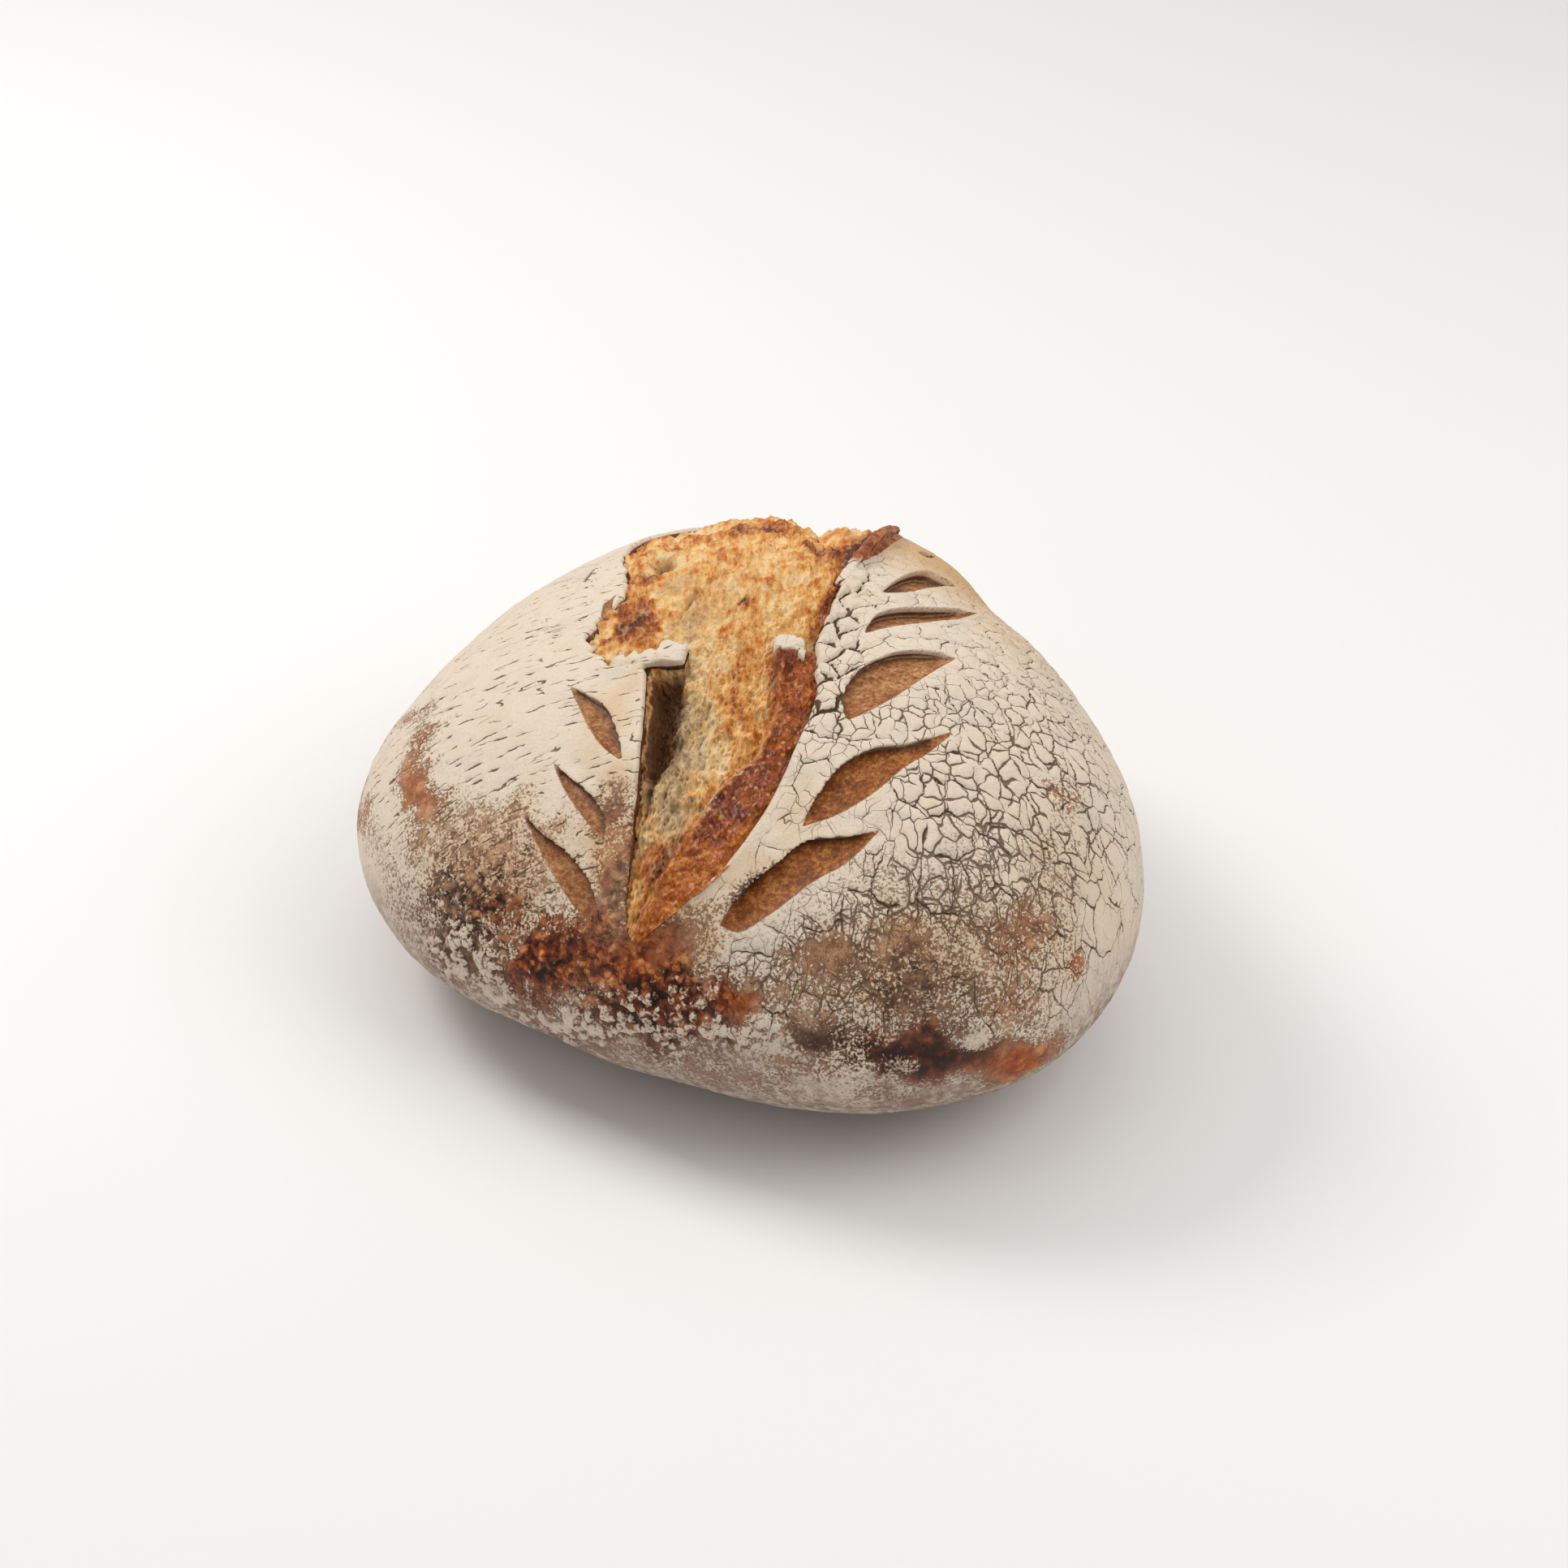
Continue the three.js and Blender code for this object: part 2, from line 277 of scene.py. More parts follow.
def fade(value, start, end):
    """0 at start, 1 at end and smooth between them."""
    t = np.clip((value - start) / (end - start), 0, 1)
    return t * t * (3 - 2 * t)


def bell(distance, reach):
    return np.exp(-((distance / reach) ** 2))


# %% [markdown]
# ## The rims of the burst
# The crust tore along two rims. Each is a smooth curve through a few map addresses, set in
# pairs from the front tip to the back tip. Every pair spans the burst there, so that a place
# in it has two simple numbers: how far along it is and how far across.

# %% The two rims
LEFT_RIM = [
    (-27, -72.5), (-29, -68.5), (-30.4, -60), (-31.3, -51), (-32.4, -42), (-33.6, -32),
    (-34.6, -23), (-36, -15.5), (-42, -12), (-45.5, -4), (-46.3, 3), (-42.2, 11),
    (-39.2, 18), (-38.2, 31), (-34.3, 47), (-24, 61), (-8, 71), (3, 75.5),
]
RIGHT_RIM = [
    (-25.5, -72.5), (-17.5, -68.5), (-9.8, -63.2), (-4, -54), (-0.9, -44), (1.7, -34),
    (1.3, -25), (0.7, -17), (2.2, -10), (3.8, -3), (5.3, 3), (8, 12),
    (10.8, 19.5), (15.3, 31), (22.8, 50), (22, 63), (16, 72), (5, 75.5),
]


def spline(points, t):
    """A curve through the points, with t from 0 at the first to 1 at the last."""
    points = np.array(points, float)
    last = len(points) - 1
    scaled = np.clip(np.asarray(t, float), 0, 1) * last
    i = np.minimum(scaled.astype(int), last - 1)
    f = (scaled - i)[..., None]
    before, here, after, beyond = (points[np.clip(i + k, 0, last)] for k in (-1, 0, 1, 2))
    slope_here, slope_after = (after - before) / 2, (beyond - here) / 2
    return (
        (2 * here - 2 * after + slope_here + slope_after) * f**3
        + (-3 * here + 3 * after - 2 * slope_here - slope_after) * f**2
        + slope_here * f
        + here
    )


def distance_to_line(u, v, line):
    """The distance, in degrees, from each address to a line of addresses."""
    nearest = np.full(u.shape, 1e9)
    for (au, av), (bu, bv) in zip(line[:-1], line[1:]):
        du, dv = bu - au, bv - av
        t = np.clip(((u - au) * du + (v - av) * dv) / (du * du + dv * dv), 0, 1)
        nearest = np.minimum(nearest, np.hypot(u - au - t * du, v - av - t * dv))
    return nearest


def inside_outline(u, v, outline):
    """True for the addresses that lie inside a closed outline."""
    inside = np.zeros(u.shape, bool)
    for (au, av), (bu, bv) in zip(outline, np.roll(outline, -1, axis=0)):
        crosses = (av > v) != (bv > v)
        at = au + (v - av) * (bu - au) / (bv - av if bv != av else 1e-9)
        inside ^= crosses & (u < at)
    return inside


RIM_STEPS = np.linspace(0, 1, 120)
left_line = spline(LEFT_RIM, RIM_STEPS)
right_line = spline(RIGHT_RIM, RIM_STEPS)
burst_outline = np.concatenate([left_line, right_line[::-1]])
DEGREE = 1.9  # mm on the crust for a degree of the map, on average


def charted(measure, step=0.5, reach=96):
    """Measures once on a grid of the map, and returns a function that reads from the grid."""
    ticks = np.arange(-reach, reach + step, step)
    grid_u, grid_v = np.meshgrid(ticks, ticks, indexing="ij")
    grid = measure(grid_u.ravel(), grid_v.ravel()).reshape(grid_u.shape)

    def read(u, v):
        a = np.clip((u + reach) / step, 0, len(ticks) - 2)
        b = np.clip((v + reach) / step, 0, len(ticks) - 2)
        i, j = a.astype(int), b.astype(int)
        a, b = np.clip(a - i, 0, 1), np.clip(b - j, 0, 1)
        low = grid[i, j] * (1 - b) + grid[i, j + 1] * b
        return low * (1 - a) + (grid[i + 1, j] * (1 - b) + grid[i + 1, j + 1] * b) * a

    return read


def measure_rims(u, v):
    away = distance_to_line(u, v, burst_outline) * DEGREE
    return np.where(inside_outline(u, v, burst_outline), -away, away)


rim_distance = charted(measure_rims)  # mm: negative inside the burst
print("the burst is", len(burst_outline), "points round")

# %% [markdown]
# ## Noise and soft patches
# Noise textures live in node trees. Where a formula moves corners or paints masks, the script
# needs noise that numpy can work out, so it has a small one of its own: each lattice point gets
# a slope from its number, and the slopes blend. The same place always gets the same value.


# %% Smooth noise for positions
def soft_noise(at, size, seed=0):
    """Smooth noise from about -1 to 1, with bumps of a size, for 2-D or 3-D positions."""
    at = at / size + 31.7 * seed
    if at.shape[1] == 2:
        at = np.column_stack([at, np.full(len(at), 0.5)])
    cell = np.floor(at).astype(np.int64)
    part = at - cell
    ease = part**3 * (part * (part * 6 - 15) + 10)
    total = np.zeros(len(at))
    for corner in np.ndindex(2, 2, 2):
        key = (cell + corner) @ np.array([73856093, 19349663, 83492791])
        key = ((key ^ (key >> 13)) * 1274126177) & 0x7FFFFFFF
        slope = np.stack([(key >> shift & 1023) / 511.5 - 1 for shift in (3, 11, 19)], -1)
        weight = np.prod(np.where(corner, ease, 1 - ease), axis=1)
        total += weight * ((part - corner) * slope).sum(1)
    return total * 1.7


def patches_at(u, v):
    """A function that gives how much of a list of soft patches each address has.

    A patch is the u and v of its middle, its half length, its half width, its turn in degrees
    and its amount. The noise that moves the patches' edges is worked out once for all lists.
    """
    at = np.column_stack([u, v])
    push_u = soft_noise(at, 7, 1) + 0.5 * soft_noise(at, 2.6, 2)
    push_v = soft_noise(at, 7, 3) + 0.5 * soft_noise(at, 2.6, 4)

    def patches(spots):
        total = np.zeros(len(u))
        for spot_u, spot_v, length, width, turn, amount in spots:
            loose = min(3.5, 0.7 * width)
            du, dv = u + loose * push_u - spot_u, v + loose * push_v - spot_v
            turn = math.radians(turn)
            along = du * math.cos(turn) + dv * math.sin(turn)
            across = dv * math.cos(turn) - du * math.sin(turn)
            away = (along / length) ** 2 + (across / width) ** 2
            total += amount * np.exp(-(away**1.5))
        return total

    return patches


# %% [markdown]
# ## Closed slabs that follow the crust
# The blade's slashes and the burst are cut out of the form, and the flakes and the ear are
# added to it. Each of these is a slab: a flat grid, extruded once into a closed block in edit
# mode. Its corners then move to the map, where x runs along the slab, y runs across it, and
# the bottom and the top each get their own height. A block that starts as a grid has enough
# faces to bend with the crust, which a plain cube hasn't.


# %% A slab from a grid
def enclosed(thing):
    """The volume inside a closed mesh, which is negative when its faces point inwards."""
    mesh = thing.data
    mesh.calc_loop_triangles()
    corners = np.empty(len(mesh.loop_triangles) * 3, np.int32)
    mesh.loop_triangles.foreach_get("vertices", corners)
    a, b, c = read_places(thing)[corners.reshape(-1, 3)].transpose(1, 0, 2)
    return (np.cross(a, b) * c).sum() / 6


def slab(name, rows, columns, patch):
    """A closed slab. patch(along, across, is_top) gives u, v and the height for its corners."""
    bpy.ops.object.select_all(action="DESELECT")
    bpy.ops.mesh.primitive_grid_add(
        x_subdivisions=rows, y_subdivisions=columns, size=1, location=(0, 0, 0)
    )
    thing = bpy.context.object
    thing.name = name
    bpy.ops.object.mode_set(mode="EDIT")
    bpy.ops.mesh.select_all(action="SELECT")
    bpy.ops.mesh.extrude_region_move(TRANSFORM_OT_translate={"value": (0, 0, 1)})
    bpy.ops.object.mode_set(mode="OBJECT")
    grid = read_places(thing)
    u, v, height = patch(grid[:, 0] + 0.5, grid[:, 1] + 0.5, grid[:, 2] > 0.5)
    write_places(thing, from_map(u, v, height))
    bpy.ops.object.mode_set(mode="EDIT")
    bpy.ops.mesh.select_all(action="SELECT")
    bpy.ops.mesh.normals_make_consistent(inside=False)
    bpy.ops.object.mode_set(mode="OBJECT")
    if enclosed(thing) < 0:
        bpy.ops.object.mode_set(mode="EDIT")
        bpy.ops.mesh.flip_normals()
        bpy.ops.object.mode_set(mode="OBJECT")
    return thing


def combine(thing, tool, operation):
    """Joins or cuts with a boolean modifier, and removes the tool."""
    modifier = thing.modifiers.new(operation.lower(), "BOOLEAN")
    modifier.operation = operation
    modifier.solver = "MANIFOLD"
    modifier.object = tool
    apply_all(thing)
    bpy.data.objects.remove(tool)
    return thing


# %% [markdown]
# ## The raw loaf
# An ico sphere has even faces all over, so it makes a better ball than a UV sphere with its
# crowded poles. Each corner moves out to the form, and none goes lower than the table.

bpy.ops.object.select_all(action="DESELECT")
bpy.ops.mesh.primitive_ico_sphere_add(subdivisions=8, radius=1)
crust = bpy.context.object
crust.name = "crust"
toward = read_places(crust)
toward /= np.linalg.norm(toward, axis=1)[:, None]
azimuth = np.arctan2(toward[:, 1], toward[:, 0])
elevation = np.arcsin(np.clip(toward[:, 2], -1, 1))
places = (form_place(azimuth, elevation, 0) - CENTRE) * MM
places[:, 2] = np.maximum(places[:, 2], 0)
write_places(crust, places)
print("the raw loaf has", len(crust.data.polygons), "faces")

# %% [markdown]
# ## Cutting the burst and the slashes
# A blade held at a slant leaves one raised lip and one that slopes in flush. So each slash is
# drawn as two lines from tip to tip, its lip and its low edge. The slab between them is deep
# under the lip, reaches in beneath it, and comes up to the crust along the low edge.

# %% The cuts
ABOVE = 14.0
BURST_DEPTH = 17.0
SLASHES = {
    "right_1": dict(
        lip=[(16.6, 6.7), (22.9, 18.2), (29.3, 25.7), (34.0, 26.3), (37.8, 26.3)],
        low=[(16.6, 6.7), (23.6, 10.6), (27.4, 14.4), (31.6, 18.9), (37.8, 26.3)],
    ),
    "right_2": dict(
        lip=[(11.5, -13.3), (14.5, -6.3), (21.7, -0.8), (30.7, 4.2), (41.8, 11.7)],
        low=[(11.5, -13.3), (18.2, -10.1), (25.5, -6.4), (34.8, 1.2), (41.8, 11.2)],
    ),
    "right_3": dict(
        lip=[(8.7, -39.1), (7.2, -34.0), (10.6, -25.8), (17.8, -20.3), (25.0, -18.8), (30.7, -19.2)],
        low=[(8.7, -39.1), (12.7, -36.8), (17.6, -33.0), (21.0, -29.6), (26.0, -24.2), (30.7, -19.2)],
    ),
    "right_4": dict(
        lip=[(2.6, -58.8), (4.8, -53.7), (8.2, -48.8), (13.7, -45.1), (21.3, -42.9), (30.4, -37.7)],
        low=[(2.6, -58.8), (8.6, -56.8), (14.8, -52.8), (20.4, -47.3), (25.2, -43.5), (30.4, -37.7)],
    ),
    "right_5": dict(
        lip=[(-9.5, -72.2), (-5.6, -67.7), (-0.4, -64.0), (4.1, -61.0), (11.4, -59.8), (17.2, -57.9)],
        low=[(-9.5, -72.2), (-5.2, -73.3), (0.2, -70.7), (6.6, -66.3), (12.1, -63.2), (17.2, -57.9)],
    ),
    "right_6": dict(
        lip=[(27.3, 35.8), (29.0, 39.2), (32.8, 41.0)],
        low=[(27.3, 35.8), (29.6, 37.2), (32.8, 41.0)],
    ),
    "left_1": dict(
        lip=[(-48.2, -14.3), (-44.7, -19.7), (-41.3, -24.8), (-38.0, -32.4), (-35.4, -40.2)],
        low=[(-48.2, -14.3), (-45.9, -22.0), (-42.7, -30.0), (-39.3, -35.8), (-35.4, -40.2)],
    ),
    "left_2": dict(
        lip=[(-48.6, -33.5), (-44.5, -39.3), (-40.2, -44.7), (-36.9, -49.9), (-35.9, -54.1)],
        low=[(-48.6, -33.5), (-45.7, -40.5), (-42.4, -46.0), (-38.9, -51.0), (-35.9, -54.1)],
    ),
    "left_3": dict(
        lip=[(-53.3, -39.4), (-49.0, -46.8), (-42.7, -54.0), (-37.6, -60.8), (-35.5, -65.6)],
        low=[(-53.3, -39.4), (-49.5, -48.4), (-45.3, -56.3), (-40.9, -62.9), (-37.0, -66.8)],
    ),
    "left_4": dict(
        lip=[(-44.8, 28.6), (-43.0, 33.8), (-41.5, 37.9)],
        low=[(-44.8, 28.6), (-44.2, 33.0), (-41.5, 37.9)],
    ),
}
SLASH_DEPTH, SLASH_DEPTH_GAIN, DEEPEST = 0.9, 0.17, 2.7
SLASH_LOW_LIP = 0.3
SLASH_UNDERCUT = 1.1
SLASH_ABOVE = 3.0


def slash_patch(slash):
    def patch(along, across, is_top):
        lip, low = spline(slash["lip"], along), spline(slash["low"], along)
        middle_way = np.array(slash["low"][-1]) - np.array(slash["low"][0])
        lip_side = np.array([-middle_way[1], middle_way[0]]) / np.hypot(*middle_way)
        bulge = (np.array(slash["lip"]).mean(0) - np.array(slash["low"]).mean(0)) @ lip_side
        lip_side = lip_side * np.sign(bulge)
        span = np.linalg.norm(lip - low, axis=1)
        leaf = np.minimum(span * DEGREE / 2.5, 1)
        depth = np.minimum(SLASH_DEPTH + SLASH_DEPTH_GAIN * span * DEGREE, DEEPEST) * leaf + 0.2
        floor = -SLASH_LOW_LIP * leaf - depth * (0.3 * fade(across, 0, 0.2) + 0.7 * across)
        under = SLASH_UNDERCUT * leaf / DEGREE
        back = np.where(is_top, -under * SLASH_ABOVE / depth, under) * fade(across, 0.75, 1)
        at = low + (lip - low) * across[:, None]
        at = at + (back + 0.12 * (across - 0.5))[:, None] * lip_side
        return at[:, 0], at[:, 1], np.where(is_top, SLASH_ABOVE, floor)

    return patch


# %% The burst's slab
def ragged(t, reach, seed):
    """An uneven edge for a torn rim, in degrees."""
    at = np.column_stack([t * 240, np.zeros(len(t))])
    return reach * (soft_noise(at, 6, seed) + 0.6 * soft_noise(at, 2.3, seed + 1))


def burst_patch(along, across, is_top):
    left, right = spline(LEFT_RIM, along), spline(RIGHT_RIM, along)
    torn_back = 0.15 + 0.75 * fade(along, 0.4, 0.5)
    left[:, 0] += ragged(along, 1, 41) * torn_back
    right[:, 0] += ragged(along, 1, 47) * (0.12 + 0.5 * bell(along - 0.45, 0.13))
    at = left + (right - left) * across[:, None]
    return at[:, 0], at[:, 1], np.where(is_top, ABOVE, -BURST_DEPTH)


# %% Cut the loaf
CREVICE = dict(
    lip=[(-38.2, 17.5), (-41.2, 15.6), (-42.0, 10.0), (-42.6, 5.2), (-44.0, 1.8), (-47.2, 4.9)],
    low=[(-38.2, 17.5), (-42.6, 15.3), (-43.6, 10.0), (-44.0, 5.6), (-45.2, 3.4), (-47.2, 4.9)],
)
combine(crust, slab("burst_cut", 240, 24, burst_patch), "DIFFERENCE")
combine(crust, slab("crevice", 40, 10, slash_patch(CREVICE)), "DIFFERENCE")
for name, slash in SLASHES.items():
    combine(crust, slab(name, 50, 12, slash_patch(slash)), "DIFFERENCE")
print("cut", len(SLASHES), "slashes and the burst;", len(crust.data.polygons), "faces")

# %% [markdown]
# ## The flakes and the ear
# Where the rims tore they left two small flakes of floured crust, one still hanging over the
# gap from the left rim and one lying on the crumb near the right rim. Dry crust breaks in
# steps, so each flake is made of two short slabs of unlike height, and two more stand as teeth
# on the left rim. Further back the right rim stands up as a thin, dark ear.

# %% The flakes' outlines
FLAKES = {
    "first_tooth": dict(
        lower=[(-41.3, -13.0), (-39.9, -13.2), (-38.9, -13.0)],
        upper=[(-41.2, -9.8), (-40.1, -8.3), (-39.2, -10.2)],
        root=-2.0, top=0.8,
    ),
    "second_tooth": dict(
        lower=[(-38.8, -13.0), (-37.5, -13.8), (-36.3, -14.4)],
        upper=[(-38.4, -11.0), (-37.3, -9.9), (-36.5, -11.9)],
        root=-2.0, top=1.2,
    ),
    "hanging_chip": dict(
        lower=[(-36.6, -15.0), (-34.8, -15.4), (-33.0, -15.8)],
        upper=[(-36.5, -11.8), (-35.0, -10.6), (-33.4, -11.2)],
        root=-3.0, top=1.0,
    ),
    "hanging_flake": dict(
        lower=[(-33.2, -15.9), (-30.2, -17.2), (-27.7, -17.8)],
        upper=[(-32.8, -10.4), (-31.6, -9.8), (-29.4, -11.4), (-27.1, -12.9)],
        root=-3.4, top=1.9,
    ),
    "lying_flake": dict(
        lower=[(-8.6, -19.2), (-6.1, -19.5), (-4.0, -19.4)],
        upper=[(-8.9, -15.3), (-6.9, -14.2), (-4.4, -14.5)],
        root=-3.2, top=1.8,
    ),
    "lying_chip": dict(
        lower=[(-3.4, -20.8), (-2.5, -22.0), (-1.7, -22.8)],
        upper=[(-3.8, -15.1), (-2.8, -14.8), (-1.9, -16.2)],
        root=-3.2, top=1.3,
    ),
}
EAR_MIDDLE, EAR_REACH, EAR_HEIGHT = 0.76, 0.13, 4.6


# %% The slabs of a flake and of the ear
def flake_patch(flake):
    def patch(along, across, is_top):
        lower, upper = spline(flake["lower"], along), spline(flake["upper"], along)
        at = lower + (upper - lower) * across[:, None]
        top = flake["top"] + 0.7 * soft_noise(at * DEGREE, 3.2, 15) - 0.4 * across
        return at[:, 0], at[:, 1], np.where(is_top, top, flake["root"])

    return patch


def ear_patch(along, across, is_top):
    t = EAR_MIDDLE + (along - 0.5) * 2 * EAR_REACH
    at, ahead = spline(RIGHT_RIM, t), spline(RIGHT_RIM, t + 0.004)
    way = (ahead - at) / np.linalg.norm(ahead - at, axis=1)[:, None]
    offset = 0.5 - 2.4 * across
    at = at + offset[:, None] * np.stack([way[:, 1], -way[:, 0]], -1)
    crest = np.sin(np.pi * along) ** 1.4 * (0.75 + 0.25 * np.sin(np.pi * across))
    crest = crest + 0.12 * soft_noise(np.column_stack([along * 60, across]), 3, 17)
    return at[:, 0], at[:, 1], np.where(is_top, EAR_HEIGHT * crest - 0.3, -8)


# %% Add what stands proud
for name, flake in FLAKES.items():
    combine(crust, slab(name, 40, 16, flake_patch(flake)), "UNION")
combine(crust, slab("ear", 80, 8, ear_patch), "UNION")
print("with flakes and ear:", len(crust.data.polygons), "faces")

# %% [markdown]
# ## Even faces for fine relief
# Booleans leave long thin faces that fine relief can't use. A voxel remesh rebuilds the whole
# skin from little cubes, so every part gets faces of one size, and the sharp cut edges come
# out a touch rounded, as crust is.

# %% Remesh the crust
VOXEL = 0.6 * MM
remesh = crust.modifiers.new("even_skin", "REMESH")
remesh.mode = "VOXEL"
remesh.voxel_size = VOXEL
apply_all(crust)
print("remeshed:", len(crust.data.polygons), "faces")

# %% [markdown]
# ## Where the skin is floured, cracked and browned
# The baker knows the loaf by its regions: thick flour on top, worn flour low on the left,
# a red glossy patch where steam kept the dough wet, and a dusty skirt by the stone, which is also
# painted darker as the shade low on the loaf, most at the front. Each is a named list of soft
# patches on the map. Smooth noise moves their edges, so that none looks like an ellipse.
# Painting with a brush would be freer, but a list can be read, and moved by a number. Every
# corner then keeps one mask for each list, which both the relief and the colours read.


# %% The patches by name
FLOUR_WORN_OFF = [
    (-62, -37, 13, 7, -38, 0.35),   # the mottled left
    (-73, -58, 12, 6, -38, 0.4),
    (-62, -76, 11, 5, -30, 0.5),
    (-46, -87, 12, 4.5, -20, 0.6),
    (-55, -51, 14, 8, -31, 0.5),
    (-69, -47, 12, 6, -38, 0.55),   # the scorched left
    (-56, -57, 8, 5, -30, 0.35),
    (-51, -71, 10, 6, -23, 0.9),    # the glossy red dough
    (-66, -59, 11, 5, -33, 0.6),
    (-39, -70, 14, 5.5, -18, 0.8),
    (-30, -82, 16, 6.5, -9, 0.9),   # under the clots at the front
    (-15, -84, 15, 6, -2, 0.85),
    (-21, -76, 9, 5, -8, 0.8),      # below the burst
    (-3, -83, 6, 2.6, 5, 0.6),
    (-2, -88, 4, 2, 0, 0.5),
    (-14, -73, 7, 3.5, -5, 0.42),
    (-5, -67, 4, 1.8, 45, 0.5),     # specks on the stem
    (-10, -69.5, 6, 2, 40, 0.25),
    (7, -79, 10, 5, 7, 0.42),
    (12, -75, 6, 2.2, 9, 0.4),      # brown clouds on the right
    (25, -75, 9, 4.5, 15, 0.42),
    (24, -70, 5.5, 3, 10, 0.3),
    (14, -84, 6, 2, 12, 0.6),
    (11, -90, 8, 2.4, 13, 0.5),
    (45, -63, 8, 4.5, 23, 0.42),
    (46, -71, 7.5, 3, 21, 0.38),
    (57, -62, 2.8, 1.8, 26, 0.45),
    (52, -41, 5, 5, 0, 0.35),
    (49, -52, 5, 4, 0, 0.28),
    (33, -76, 10, 3.6, 16, 0.35),
    (30, -83, 10, 3.4, 16, 1.0),    # the bare strip
    (54, -76, 9, 3.2, 33, 0.9),
    (44, -80, 8, 3.2, 18, 0.9),
    (28, -68, 26, 10, 15, 0.26),
    (-20, -91, 18, 3.5, -3, 0.5),   # patches of the skirt
    (30, -91, 8, 3, 12, 0.35),
    (50, -86, 8, 3, 25, 0.3),
    (-60, -84, 9, 3, -30, 0.4),
    (-4, -96, 16, 3, 2, 0.3),
    (-71, -19, 3, 13, 0, 0.9),      # the red streaks on the left flank
    (-75, 8, 2.4, 10, 25, 0.45),
    (-85, -6, 3.5, 11, 15, 0.55),
    (-32, -64, 4.5, 8, 0, 0.8),     # the foot of the flap beside the gap
    (-35, -49, 4, 3.4, 0, 0.7),
    (-33, -58, 4, 8, 0, 0.4),
    (48, -77, 7, 3, 20, 0.5),
    (10, -85, 8, 3, 8, 0.35),
    (-80, -32, 5, 15, 10, 0.16),    # faint specks by the left outline
]
BROWNED = [
    (-69, -47, 12, 6, -38, 0.32),
    (-56, -57, 8, 5, -30, 0.22),
    (-66, -59, 11, 5, -33, 0.3),
    (-51, -71, 10, 6, -23, 0.25),
    (-30, -82, 15, 6, -9, 0.32),
    (-17, -84, 13, 5.5, -2, 0.32),
    (-39, -70, 13.5, 5, -18, 0.2),
    (-5, -67, 4, 1.6, 45, 0.7),
    (25, -75, 9, 4, 15, 0.2),
    (33, -76, 10, 3.6, 16, 0.15),
    (14, -84, 6, 2, 12, 0.5),
    (23, -85, 6, 3, 16, 0.3),
    (30, -83, 9, 3, 16, 0.45),
    (38, -80, 7, 2.4, 18, 0.4),
    (-35, -49, 4, 3, 0, 0.2),
]
REDDENED = [
    (-51, -71, 9, 5.5, -23, 0.9),
    (-56, -57, 8, 4.5, -30, 0.5),
    (-39, -70, 13.5, 5, -18, 0.7),
    (-30, -82, 15, 5.5, -9, 0.5),
    (-17, -84, 13, 4.8, -2, 0.6),
    (-23, -76, 8, 4, -8, 0.7),
    (-3, -83, 4.6, 2, 5, 0.8),
    (24, -70, 4.5, 2.5, 10, 0.15),
    (12, -75, 5.5, 1.9, 9, 0.15),
    (45, -63, 6, 3.4, 23, 0.3),
    (46, -71, 5.6, 1.8, 21, 0.25),
    (57, -62, 2.4, 1.5, 26, 0.9),
    (52, -41, 4.5, 4, 0, 0.6),
    (30, -83, 9, 3.1, 16, 0.9),
    (54, -76, 8, 2.8, 33, 0.95),
    (42, -80, 8, 2.6, 18, 0.6),
    (-34, -54, 5, 6, 0, 0.35),
    (-71, -19, 3, 12, 0, 0.55),
    (-78, 5, 3, 11, 25, 0.6),
    (-85, -6, 3.5, 11, 15, 0.6),
]
LUMPY = [
    (-33, -62, 5, 9, 0, 0.4),
    (-62, -37, 12, 6, -38, 0.6),
    (-55, -52, 14, 9, -31, 0.8),
    (-69, -48, 12, 7, -38, 0.5),
    (-66, -59, 12, 6, -33, 0.5),
    (-51, -71, 10, 7, -23, 0.6),
    (-39, -72, 15, 7, -18, 0.6),
    (-28, -82, 18, 7, -9, 0.7),
    (-12, -82, 14, 7, 0, 0.6),
    (25, -75, 11, 5, 15, 0.45),
    (33, -82, 14, 4, 16, 0.5),
    (46, -67, 9, 7, 22, 0.35),
    (8, -88, 16, 4, 5, 0.4),
]
CLOTTED_FLOUR = [
    (-30, -83, 16, 6.5, -9, 1.0),
    (-15, -86, 14, 6, -2, 1.0),
    (-66, -60, 12, 6, -33, 1.0),
    (-64, -72, 12, 6, -30, 1.0),
    (-48, -83, 11, 5, -20, 1.0),
    (-76, -52, 5, 9, 20, 0.6),
    (-42, -67, 8, 3, -18, 0.3),
    (6, -87, 12, 4, 5, 0.5),
]
TANNED_FLOUR = [
    (36, 40, 22, 20, 0, 0.95),      # the right shoulder
    (48, 8, 12, 20, 0, 0.35),
    (-39, -28, 5, 13, 0, 0.5),      # the flap beside the gap
    (-35, -51, 4.5, 9, 0, 0.8),
    (-32, -65, 4.5, 8, 0, 0.9),
    (-62, -37, 12, 6, -38, 0.35),
    (-55, -51, 14, 8, -31, 0.7),
    (-14, -73, 8, 4, -5, 0.8),
    (-5, -66, 6, 4, 0, 0.5),
    (2, -56, 6, 6, 0, 0.3),
    (28, -72, 18, 7, 15, 0.5),
    (50, -55, 10, 12, 0, 0.25),
]
print("patches:", len(FLOUR_WORN_OFF), "worn,", len(BROWNED), "browned")

